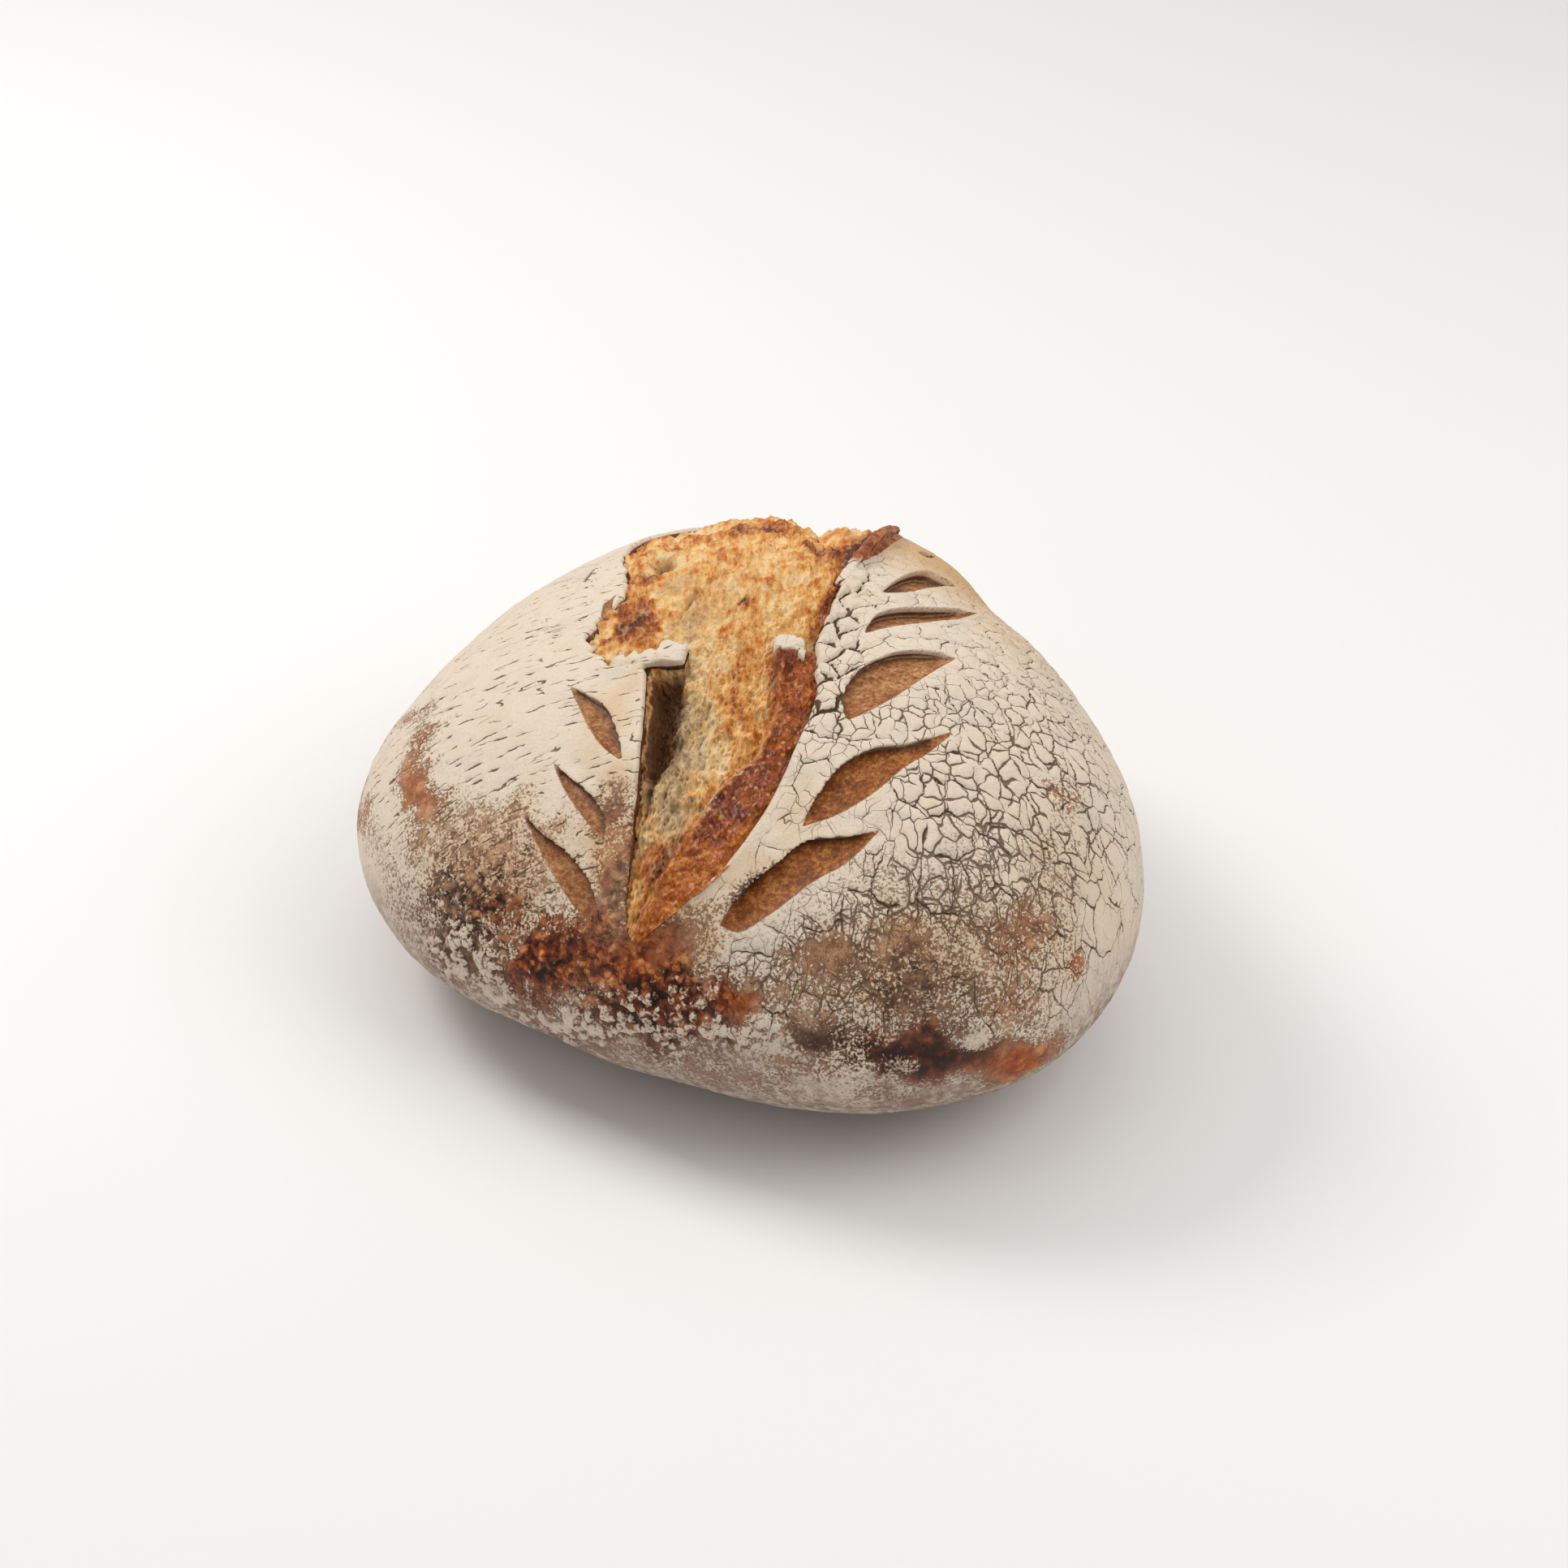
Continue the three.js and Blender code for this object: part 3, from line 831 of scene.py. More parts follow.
# %% The crackled and blistered patches by name
WIDE_CRACKS = [
    (4, -30, 6, 13, 0, 0.8),        # the plates beside the right rim
    (6, -4, 5, 12, 0, 1.0),
    (10, 12, 5, 9, 0, 0.8),
    (30, -49, 13, 10, 30, 0.14),
    (9, -73, 10, 3, 7, 0.1),
    (28, -65, 13, 4, 16, 0.08),
]
FINE_CRACKS = [
    (50, -34, 14, 18, 20, 0.36),
    (39, -54, 14, 10, 30, 0.4),
    (26, -65, 17, 6, 16, 0.45),
    (12, -77, 16, 6, 8, 0.4),
    (30, -46, 14, 14, 0, 0.38),
    (5, -34, 7, 13, 0, 0.28),       # beside the right rim
    (18, -38, 12, 4, 20, 0.25),
    (1, -54, 6, 6, 0, 0.1),
    (7, -78, 9, 5, 7, 0.25),
    (52, -66, 10, 6, 30, 0.25),
    (-10, 85, 60, 25, 0, 0.2),
    (70, 30, 25, 40, 0, 0.2),
]
CHIPPED = [
    (26, -66, 17, 6, 14, 0.3),
    (12, -75, 12, 6, 8, 0.22),
    (38, -58, 10, 7, 20, 0.24),
    (28, -78, 14, 3, 16, 0.25),
    (-5, -67, 4, 1.6, 45, 0.5),
]
FLOURED_BLISTERS = [
    (29.3, -84, 3.3, 1.4, 16, 1.0),
    (40.8, -77.2, 2.6, 1.3, 19, 0.6),
    (41, -59, 2.6, 1.4, 22, 0.9),
    (-27, -89, 3, 1.0, -10, 0.8),
]
print("patches:", len(FINE_CRACKS), "of fine cracks,", len(FLOURED_BLISTERS), "blisters")


# %% Distances to the slashes
def leaf_outline(slash):
    steps = np.linspace(0, 1, 24)
    return np.concatenate([spline(slash["lip"], steps), spline(slash["low"], steps[::-1])])


def measure_slashes(u, v):
    """The distance in mm to the nearest slash's edge: negative inside it."""
    result = np.full(u.shape, 20.0)
    for slash in list(SLASHES.values()) + [CREVICE]:
        outline = leaf_outline(slash)
        near = (u > outline[:, 0].min() - 9) & (u < outline[:, 0].max() + 9)
        near &= (v > outline[:, 1].min() - 9) & (v < outline[:, 1].max() + 9)
        away = distance_to_line(u[near], v[near], outline) * DEGREE
        away[inside_outline(u[near], v[near], outline)] *= -1
        result[near] = np.minimum(result[near], away)
    return result


def measure_lips(u, v):
    """The distance in mm to the nearest slash's lip, without its tips."""
    result = np.full(u.shape, 20.0)
    for slash in SLASHES.values():
        lip = spline(slash["lip"], np.linspace(0, 1, 24))[3:-3]
        near = (np.abs(u - lip[:, 0].mean()) < 30) & (np.abs(v - lip[:, 1].mean()) < 30)
        away = distance_to_line(u[near], v[near], lip) * DEGREE
        result[near] = np.minimum(result[near], away)
    return result


slash_distance = charted(measure_slashes, 0.25)
lip_distance = charted(measure_lips, 0.25)
print("slashes measured")


# %% Paint the masks on the corners
SKIRT_START, SKIRT_END = 82, 100
SMOOTH_SHOULDER, SHOULDER_REACH = (34, 34), 22
WIDEST_CRAZE, WIDEST_CHIP = 0.38, 0.26


def paint_crust(thing):
    """Stores the map address and every mask for each corner of the crust.

    Returns them too, and with them "lipped": how far lips, rims and blisters stand up, in mm.
    """
    u, v, height = to_map(read_places(thing))
    away, at = np.hypot(u, v), np.column_stack([u, v])
    patches = patches_at(u, v)
    wavy = 5 * soft_noise(at, 13, 31) + 2 * soft_noise(at, 4, 32)
    # The skirt is dusty, and it is also where painted shade darkens the low loaf, most at the front.
    skirt = fade(away + wavy, SKIRT_START, SKIRT_END) * (0.6 + 0.4 * fade(-v, 10, 60))
    side = fade(u, -22, 6)
    slash, rim = slash_distance(u, v), rim_distance(u, v)
    blister = np.clip(patches(FLOURED_BLISTERS), 0, 1)
    flour = 1.0 - patches(FLOUR_WORN_OFF) - 0.1 * skirt + 0.75 * blister
    near_cut = np.minimum(slash, np.where(u > 10, 20, rim))
    crackle = 0.1 + 0.18 * side * fade(near_cut, 1, 7) + patches(WIDE_CRACKS)
    crackle *= 1 - 0.75 * fade(away, 82, 92)
    from_shoulder = np.hypot(u - SMOOTH_SHOULDER[0], v - SMOOTH_SHOULDER[1])
    crackle *= 1 - 0.8 * bell(from_shoulder, SHOULDER_REACH)
    crazed = 0.07 * side + 0.8 * patches(FINE_CRACKS)
    flap = (u < -20) & (v < -12)
    masks = {
        "skin": np.stack([u, v, height], -1),
        "home": from_map(u, v, 0) / MM,
        "flour": np.clip(flour, 0.02, 1),
        "browned": np.clip(0.3 + patches(BROWNED), 0, 1),
        "reddened": np.clip(patches(REDDENED), 0, 1),
        "lumpy": np.clip(patches(LUMPY), 0, 1) * (1 - 0.7 * fade(away, 88, 97)),
        "clotted": np.clip(patches(CLOTTED_FLOUR), 0, 1),
        "tanned": np.clip(patches(TANNED_FLOUR), 0, 1),
        "crackle": np.clip(crackle, 0, 1),
        "crazed": np.clip(crazed, 0, WIDEST_CRAZE) * (1 - fade(away, 84, 93)),
        "chipped": np.clip(0.9 * patches(CHIPPED), 0, WIDEST_CHIP),
        "dashed": fade(-u, 18, 30) * (1 - fade(away, 76, 90)),
        "skirt": skirt,
        "slash": slash,
        "shaded": bell(lip_distance(u, v), 1.5) * (slash < 0.2),
        "rim": rim,
        "eared": bell(u - 18, 12) * fade(v, 14, 34) * (1 - fade(v, 58, 66)),
    }
    for name, values in masks.items():
        store(thing, name, values)
    raised = bell(lip_distance(u, v), 1.9) * fade(slash, -0.6, 0.3)
    masks["lipped"] = 0.7 * raised + 1.3 * blister
    curl = np.where(flap, 0.7, 0.4 * (1 - fade(v, -5, 20)) + 0.2)
    masks["lipped"] += curl * bell(rim - 0.8, 2.4) * fade(rim, -0.8, 0.6)
    return masks


masks = paint_crust(crust)
print("painted", len(masks) - 1, "masks")

# %% [markdown]
# ## One crack pattern for shape and colour
# The flour skin dries first and can't stretch, so it cracks as the loaf springs. A Voronoi
# texture's distance to its cell edges is just such a net of plates, and three nets of unlike
# size lie over each other. Noise bends the coordinates so that no crack is straight, and
# changes the width along each crack so that many end blind. On the left the cracks are short
# dashes down the slope, which lie where a stretched noise crosses its middle value.
#
# Low on the loaf the crust is lumpy instead. There, small Voronoi cells make grains, larger ones
# clumps and blisters, and clots of wet flour sit between them in clusters.
#
# The same function adds these nodes to the modifier that dents the mesh and to the material,
# so that the dark lines lie exactly in the grooves.


# %% Node helpers
def node(tree, kind, inputs=None, **settings):
    """Adds a node, sets its settings, and fills or links its inputs."""
    made = tree.nodes.new(kind)
    for name, value in settings.items():
        setattr(made, name, value)
    for name, value in (inputs or {}).items():
        if isinstance(value, bpy.types.NodeSocket):
            tree.links.new(value, made.inputs[name])
        else:
            made.inputs[name].default_value = value
    return made


def calc(tree, operation, *values, clamp=False):
    made = node(tree, "ShaderNodeMath", dict(enumerate(values)), operation=operation)
    made.use_clamp = clamp
    return made.outputs[0]


def ramp(tree, value, start, end):
    """0 at start, 1 at end and smooth between them."""
    made = node(
        tree, "ShaderNodeMapRange",
        {"Value": value, "From Min": start, "From Max": end},
        interpolation_type="SMOOTHSTEP",
    )
    return made.outputs["Result"]


def stretch(tree, vector, factors):
    made = node(tree, "ShaderNodeVectorMath", {0: vector, 1: factors}, operation="MULTIPLY")
    return made.outputs[0]


def noise(tree, vector, size, detail=2.0, rough=0.5, colour=False):
    """Noise with features of a size, in the vector's units: 0.5 on average."""
    made = node(
        tree, "ShaderNodeTexNoise",
        {"Vector": vector, "Scale": 1 / size, "Detail": detail, "Roughness": rough},
    )
    return made.outputs["Color" if colour else "Fac"]


def bend(tree, vector, size, amount):
    """Moves a vector about by noise."""
    pushed = node(
        tree, "ShaderNodeVectorMath",
        {0: noise(tree, vector, size, colour=True), 1: (0.5, 0.5, 0.5)}, operation="SUBTRACT",
    )
    moved = node(
        tree, "ShaderNodeVectorMath",
        {0: pushed.outputs[0], 1: (2 * amount,) * 3, 2: vector}, operation="MULTIPLY_ADD",
    )
    return moved.outputs[0]


def shorthand(tree):
    """Two short words for one tree: a product, and a value that noise moves up and down."""

    def times(a, b):
        return calc(tree, "MULTIPLY", a, b)

    def varied(value, by, amount):
        return calc(tree, "MULTIPLY_ADD", calc(tree, "SUBTRACT", by, 0.5), amount, value)

    return times, varied


def voronoi(tree, vector, size, feature="F1", flat=True):
    return node(
        tree, "ShaderNodeTexVoronoi", {"Vector": vector, "Scale": 1 / size},
        feature=feature, voronoi_dimensions="2D" if flat else "3D",
    )


# %% The crack pattern
PLATE = 11.5
SMALL_PLATE = 5.6
CHIP = 3.0
DASH_TURN = math.radians(12)
DASH_LENGTH = 6.0
CRACK_MASKS = ("crackle", "crazed", "chipped", "dashed")


def cracks(tree, skin, masks):
    """Sockets: how deep in a wide crack and in any crack, and how full a plate swells.

    The masks crackle, crazed and chipped are half widths in mm.
    """
    straight = stretch(tree, skin, (DEGREE, DEGREE, 0))
    chart = bend(tree, bend(tree, straight, 10, 4.0), 4, 0.6)
    polygons = calc(tree, "SUBTRACT", 1, masks["dashed"])

    def swell(vector, change, least):
        more = calc(tree, "SUBTRACT", noise(tree, vector, change, 1), least)
        return calc(tree, "MINIMUM", calc(tree, "MULTIPLY", more, 5.5), 1)

    def net(size, width, change, least):
        edge = voronoi(tree, chart, size, "DISTANCE_TO_EDGE").outputs["Distance"]
        width = calc(tree, "MULTIPLY", width, swell(chart, change, least))
        width = calc(tree, "MULTIPLY", width, polygons)
        return calc(tree, "MULTIPLY_ADD", edge, -size, width)

    wide = net(PLATE, masks["crackle"], 9, 0.33)
    fine = net(SMALL_PLATE, masks["crazed"], 8, 0.30)
    chips = net(CHIP, masks["chipped"], 8, 0.36)

    turned = node(
        tree, "ShaderNodeVectorRotate",
        {"Vector": straight, "Angle": DASH_TURN}, rotation_type="Z_AXIS",
    )
    slope = bend(tree, turned.outputs[0], 7, 1.6)
    flat = stretch(tree, slope, (1 / DASH_LENGTH, 1, 1))
    step_aside = node(tree, "ShaderNodeVectorMath", {0: flat, 1: (0, 0.4, 0)}, operation="ADD")
    here, there = (noise(tree, at, 4.4, 0.5) for at in (flat, step_aside.outputs[0]))
    steep = calc(tree, "ABSOLUTE", calc(tree, "SUBTRACT", there, here))
    off_middle = calc(tree, "ABSOLUTE", calc(tree, "SUBTRACT", here, 0.5))
    from_line = calc(tree, "DIVIDE", off_middle, calc(tree, "MAXIMUM", steep, 0.012))
    dash = calc(tree, "MULTIPLY", swell(stretch(tree, slope, (0.6, 1, 1)), 3.4, 0.48), 0.45)
    dash = calc(tree, "MULTIPLY", dash, masks["dashed"])
    dashes = calc(tree, "SUBTRACT", dash, calc(tree, "MULTIPLY", from_line, 0.4))

    nets = calc(tree, "MAXIMUM", calc(tree, "MAXIMUM", wide, fine), chips)
    room = calc(tree, "MAXIMUM", nets, dashes)
    plates = voronoi(tree, chart, PLATE, "DISTANCE_TO_EDGE").outputs["Distance"]
    swollen = calc(tree, "MULTIPLY", ramp(tree, plates, 0.02, 0.24), masks["crackle"])
    return ramp(tree, wide, 0.08, 0.35), ramp(tree, room, 0, 0.14), swollen


# %% Lumps, blisters and clots
GRAIN, CLUMP, BLISTER = 1.8, 3.8, 7.0


def lumps_of_crust(tree, home):
    """Sockets: how high on a lump, a number of its own for each grain, how high on a blister."""
    at = bend(tree, home, 4, 1.2)
    grains, clumps = voronoi(tree, at, GRAIN, flat=False), voronoi(tree, at, CLUMP, flat=False)
    own = node(tree, "ShaderNodeSeparateXYZ", {"Vector": grains.outputs["Color"]}).outputs["Y"]
    top = calc(tree, "MULTIPLY_ADD", noise(tree, at, 2.8, 4, 0.65), 1.7, -0.4)
    top = calc(tree, "MULTIPLY_ADD", grains.outputs["Distance"], -0.4, top)
    top = calc(tree, "MULTIPLY_ADD", clumps.outputs["Distance"], -0.5, top)
    domes = voronoi(tree, at, BLISTER, flat=False)
    kept = node(tree, "ShaderNodeSeparateXYZ", {"Vector": domes.outputs["Color"]}).outputs["X"]
    round_top = ramp(tree, domes.outputs["Distance"], 0.55, 0.15)
    dome = calc(tree, "MULTIPLY", round_top, ramp(tree, kept, 0.35, 0.5))
    return top, own, dome


def clots_of_flour(tree, home, clotted):
    """A socket: how thick the clotted flour lies, from 0 to 1. The clots sit in clusters."""
    at = bend(tree, home, 3, 0.8)
    bits = voronoi(tree, at, 2.7, flat=False).outputs["Distance"]
    heap = calc(tree, "MULTIPLY_ADD", noise(tree, at, 6, 2), 2.2, -0.55)
    heap = calc(tree, "MULTIPLY_ADD", bits, -1.4, heap)
    heap = calc(tree, "MULTIPLY_ADD", noise(tree, at, 1.6, 2), 0.5, heap)
    heap = calc(tree, "MULTIPLY_ADD", clotted, 0.5, heap)
    return calc(tree, "MULTIPLY", ramp(tree, heap, 0.3, 0.75), clotted)


# %% [markdown]
# ## Relief from geometry nodes
# A geometry-nodes modifier works out how far each corner rises or sinks, in mm, and stores it.
# The corners are then moved along the rays from the heart, because that leaves their map
# addresses as they were. Each corner keeps two of them: `skin`, for patterns that lie on the map
# as the cracks do, and `home`, its place on the smooth form, for lumps. Colours that read the
# same two attributes land on the same cracks and lumps, also after the corners have moved.


# %% The relief as a node tree
def relief_tree():
    tree = bpy.data.node_groups.new("crust_relief", "GeometryNodeTree")
    tree.interface.new_socket("Geometry", in_out="INPUT", socket_type="NodeSocketGeometry")
    tree.interface.new_socket("Geometry", in_out="OUTPUT", socket_type="NodeSocketGeometry")
    inlet, outlet = tree.nodes.new("NodeGroupInput"), tree.nodes.new("NodeGroupOutput")

    def mask(name, data_type="FLOAT"):
        read = tree.nodes.new("GeometryNodeInputNamedAttribute")
        read.data_type = data_type
        read.inputs["Name"].default_value = name
        return next(socket for socket in read.outputs if socket.enabled)

    times, _ = shorthand(tree)
    skin, home = mask("skin", "FLOAT_VECTOR"), mask("home", "FLOAT_VECTOR")
    flour, lumpy = mask("flour"), mask("lumpy")
    widths = {name: mask(name) for name in CRACK_MASKS}
    wide, any_crack, swollen = cracks(tree, skin, widths)
    on_flour = times(ramp(tree, mask("slash"), 0.0, 1.0), ramp(tree, flour, 0.2, 0.7))
    on_flour = times(on_flour, ramp(tree, mask("rim"), -0.5, 0.5))
    groove = calc(tree, "ADD", times(wide, 0.8), times(any_crack, 0.45))
    flat_part = times(calc(tree, "SUBTRACT", times(swollen, 1.1), groove), on_flour)

    top, _, dome = lumps_of_crust(tree, home)
    broad = times(calc(tree, "SUBTRACT", noise(tree, home, 8, 2), 0.5), 2.4)
    rough = calc(tree, "ADD", times(top, 1.1), broad)
    rough = calc(tree, "ADD", times(rough, lumpy), times(times(dome, mask("reddened")), 1.1))
    rough = calc(tree, "ADD", rough, times(clots_of_flour(tree, home, mask("clotted")), 0.9))
    floor = times(calc(tree, "SUBTRACT", noise(tree, home, 2.2, 2), 0.5), 1.4)
    rough = calc(tree, "ADD", rough, times(floor, ramp(tree, mask("slash"), 0.3, -0.3)))
    ear_side = times(mask("eared"), ramp(tree, mask("rim"), 5, 3))
    rough = calc(tree, "ADD", rough, times(floor, ear_side))

    uneven = times(calc(tree, "SUBTRACT", noise(tree, home, 16, 3), 0.5), 1.3)
    relief = calc(tree, "ADD", flat_part, calc(tree, "ADD", rough, uneven))
    kept = tree.nodes.new("GeometryNodeStoreNamedAttribute")
    kept.data_type = "FLOAT"
    kept.domain = "POINT"
    kept.inputs["Name"].default_value = "relief"
    tree.links.new(inlet.outputs[0], kept.inputs["Geometry"])
    tree.links.new(relief, kept.inputs["Value"])
    tree.links.new(kept.outputs[0], outlet.inputs[0])
    return tree


modifier = crust.modifiers.new("relief", "NODES")
modifier.node_group = relief_tree()
apply_all(crust)
relief = np.empty(len(crust.data.vertices), np.float32)
crust.data.attributes["relief"].data.foreach_get("value", relief)
print("relief, mm:", relief.min().round(2), "to", relief.max().round(2))

# %% Move the corners by the relief
u, v, height = masks["skin"].T
places = read_places(crust)
top_side = fade(height, -0.9, -0.2)
free = fade(places[:, 2], 0.2 * MM, 6 * MM) * fade(height, -9, -6)
rise = relief * free * (0.35 + 0.65 * top_side) + masks["lipped"] * top_side * free
moved = from_map(u, v, height + rise)
moved[:, 2] = np.maximum(moved[:, 2], 0)
write_places(crust, np.where(free[:, None] > 0, moved, places))
crust.data.attributes.remove(crust.data.attributes["relief"])

# %% [markdown]
# ## Spend the faces where the detail is
# A piece may have up to 200,000 triangles. Decimate merges faces first where the skin is
# smooth, so the flat underside and the hidden floor of the burst give theirs to the cracks. It
# also blends the masks of the corners that it merges, so they are all painted anew.


# %% Thin the mesh
CRUST_TRIANGLES, CRUMB_TRIANGLES = 192000, 190000


def thin_to(thing, triangles):
    select_only(thing)
    thing.data.calc_loop_triangles()
    now = len(thing.data.loop_triangles)
    if now > triangles:
        thinner = thing.modifiers.new("thin", "DECIMATE")
        thinner.ratio = triangles / now
        apply_all(thing)
    thing.data.calc_loop_triangles()
    print(thing.name, "went from", now, "to", len(thing.data.loop_triangles), "triangles")


def drop_scraps(thing):
    """Removes a speck that shrank to two faces back to back, which a closed skin can't have."""
    thing.data.validate()
    select_only(thing)
    bpy.ops.object.mode_set(mode="EDIT")
    bpy.ops.mesh.select_mode(type="VERT")
    bpy.ops.mesh.select_all(action="DESELECT")
    bpy.ops.mesh.select_non_manifold()
    bpy.ops.mesh.delete(type="VERT")
    bpy.ops.object.mode_set(mode="OBJECT")
    print(thing.name, "has", len(thing.data.polygons), "faces without scraps")


thin_to(crust, CRUST_TRIANGLES)
drop_scraps(crust)
for name in list(masks):
    kept = crust.data.attributes.get(name)
    if kept:
        crust.data.attributes.remove(kept)
paint_crust(crust)
select_only(crust)
bpy.ops.object.shade_smooth()

# %% [markdown]
# ## The torn crumb
# Inside the burst the dough tore open while it was still soft. Its surface is pulled into
# strands and lumps with burst bubbles between them, it falls into a dark gap under the left
# flap, and along the right rim it swells into a smooth band that browned like a crust. All this
# is too fine for a few modifiers, so the slab gets a dense grid and its heights are worked out
# from named lines and noise.

# %% The crumb's own lines on the map
GAP_EDGE = [
    (-38, -14), (-28.5, -16.5), (-27.6, -21.5), (-27.5, -28), (-27.3, -36), (-26.9, -42),
    (-28, -45.3), (-29.3, -48), (-28.8, -52), (-28.6, -57.4), (-28.3, -65), (-27.5, -69),
]
BAND_EDGE = [
    (-5, -13), (-8.5, -19), (-8, -23.5), (-6, -35), (-7.7, -40.6), (-8.5, -45.6), (-12.6, -49),
    (-15.9, -52), (-18, -56), (-20.3, -59.4), (-23.6, -63.6), (-24.6, -67), (-25.8, -70),
]
LEDGE = [(-28.2, -44.5), (-25.5, -47), (-23.8, -51.8), (-20.7, -51.9)]
GROOVE = [(-29, -1), (-27.3, 5.3), (-25.8, 9), (-23.9, 12.2), (-21.4, 15), (-18.6, 16.4), (-14, 17)]
HOLE = (-30.8, 32.7)


def side_of_line(u, v, line):
    """The signed distance in mm from a line that runs down the map: positive on its right."""
    line = spline(line, np.linspace(0, 1, 60))
    crossing = np.interp(-v, -line[:, 1], line[:, 0])
    return np.where(u > crossing, 1, -1) * distance_to_line(u, v, line) * DEGREE


gap_side = charted(lambda u, v: side_of_line(u, v, GAP_EDGE))
band_side = charted(lambda u, v: side_of_line(u, v, BAND_EDGE))
ledge_away = charted(lambda u, v: distance_to_line(u, v, LEDGE) * DEGREE)
groove_line = spline(GROOVE, np.linspace(0, 1, 40))
groove_away = charted(lambda u, v: distance_to_line(u, v, groove_line) * DEGREE)
print("the gap's edge has", len(GAP_EDGE), "addresses, the band's", len(BAND_EDGE))


# %% Burst bubbles
def bubbles(at, size, seed=0):
    """The distance to the nearest of scattered points, as a share of size, and its number."""
    at = at / size + 13.3 * seed
    cell = np.floor(at).astype(np.int64)
    nearest = np.full(len(at), 9.0)
    number = np.zeros(len(at))
    for corner in np.ndindex(3, 3):
        home = cell + np.array(corner) - 1
        key = home @ np.array([73856093, 19349663])
        key = ((key ^ (key >> 13)) * 1274126177) & 0x7FFFFFFF
        spot = home + np.stack([(key >> shift & 1023) / 1023 for shift in (3, 13)], -1)
        away = np.hypot(*(at - spot).T)
        number = np.where(away < nearest, (key >> 9 & 1023) / 1023, number)
        nearest = np.minimum(away, nearest)
    return nearest, number


# %% Where the crumb's parts are
def crumb_parts(u, v):
    """Shares from 0 to 1 and distances in mm that tell the parts of the crumb apart."""
    chart = np.column_stack([u, v]) * DEGREE
    wander = 2.0 * soft_noise(chart, 9, 5) + 0.9 * soft_noise(chart, 3, 6)
    inside_rim = -rim_distance(u, v)
    by_ear = bell(inside_rim, 6.5) * (u > 0) * fade(v, 10, 26) * (1 - fade(v, 56, 66))

    # The gap, and the strip of torn crust that hangs along its left side.
    from_gap = gap_side(u, v) + wander
    gap_length = fade(v, -71, -60) * (1 - fade(v, -22, -14))
    wide = fade(v, -56, -38)
    fray = 0.8 * soft_noise(chart * (0.6, 1), 3.0, 24) + 0.25 * soft_noise(chart, 1.2, 25)
    strip_edge = inside_rim + fray
    torn_strip = 1 - fade(strip_edge, 2.2, 3.0 + 0.4 * wide)
    in_gap = (1 - fade(from_gap, -5 - wide, 2 + 2 * wide)) * gap_length
    # How far the painted shade of the gap reaches onto the crumb beside it.
    gap_shadow = (1 - fade(from_gap, -4, 3 + 7 * wide)) * gap_length * (1 - torn_strip)

    from_band = band_side(u, v) + 0.7 * wander
    in_band = fade(from_band, -1.4, 1.4) * (1 - fade(v, -20, -14))
    from_hole = np.hypot(u - HOLE[0], 0.45 * (v - HOLE[1])) * DEGREE
    return SimpleNamespace(
        chart=chart, wander=wander, inside_rim=inside_rim, by_ear=by_ear, wide=wide,
        strip_edge=strip_edge, torn_strip=torn_strip, in_gap=in_gap, gap_shadow=gap_shadow,
        from_band=from_band, in_band=in_band, puffy=fade(v, -24, 2),
        hole=bell(from_hole + 0.3 * wander, 4.0),
        groove=bell(groove_away(u, v) + 0.25 * wander, 1.2),
        ledge=bell(ledge_away(u, v) + 0.4 * wander, 2.0),
    )


# %% The crumb's level
CREST_RISE, CREST_DROP, CREST_NOTCH = 1.6, 2.4, 4.4
EAR_INSIDE = 3.2
BAND_RISE = 3.2
GAP_DEPTH = 7.5


def crumb_level(u, v, across, part):
    """The crumb's height over the form in mm, without its grain."""
    level = -4 + 3.5 * fade(v, -40, 20) + 1.2 * (1 - fade(v, -56, -46))
    level = level - 2 * (bell(across, 0.06) + bell(across - 1, 0.06)) * fade(v, -72, -62)
    level = level + 2.2 * (1 - fade(v, -72, -62))
    crest = CREST_RISE * fade(u, -18, -15.5) * (1 - fade(u, -1, 4))
    crest = crest - CREST_DROP * fade(u, -30, -25) - CREST_NOTCH * bell(u - 7, 3.2)
    level = level + crest * fade(v, 26, 42) * (1 - part.by_ear) + EAR_INSIDE * part.by_ear
    deep = part.in_gap * (1 - part.torn_strip)
    level = level - (1.5 + GAP_DEPTH * part.wide) * deep
    level = level + 2.2 * part.torn_strip * part.in_gap * part.wide
    return level + BAND_RISE * part.in_band + 1.3 * bell(part.from_band - 1.2, 1.5) * part.in_band


# %% The crumb's grain
SHELLS, SHELL_GAP = (-20, 2), 4.2


def strand_noise(chart, wide, long, seed):
    """Noise drawn out along the tear, folded so that it has sharp crests: -1 to 1."""
    bent = chart + 0.3 * long * soft_noise(chart, long, seed)[:, None]
    return 1 - 2.2 * np.abs(soft_noise(bent * (1 / wide, 1 / long), 1, seed + 1))


def crumb_grain(u, v, part):
    """The strands, folds, shells, lumps, craters and pores of the crumb, each by itself."""
    chart, wander = part.chart, part.wander
    open_big, number_big = bubbles(chart + 0.8 * wander[:, None], 5.2, 1)
    open_small, number_small = bubbles(chart + 0.5 * wander[:, None], 2.1, 2)
    shells_at = np.hypot(u - SHELLS[0], 0.55 * (v - SHELLS[1])) * DEGREE + 0.5 * wander
    rings = np.cos(shells_at / SHELL_GAP * 2 * np.pi)
    return SimpleNamespace(
        strands=strand_noise(chart, 1.3, 5, 8),
        ropes=strand_noise(chart, 5.0, 14, 10),
        folds=strand_noise(chart + 2 * soft_noise(chart, 9, 20)[:, None], 9.0, 11, 22),
        lumps=soft_noise(chart, 12, 11),
        craters=(1 - fade(open_big, 0.08, 0.34)) * (number_big > 0.6),
        pores=(1 - fade(open_small, 0.08, 0.4)) * (number_small > 0.4),
        shells=rings * bell(shells_at - 9, 8) * fade(v, -8, 0),
    )


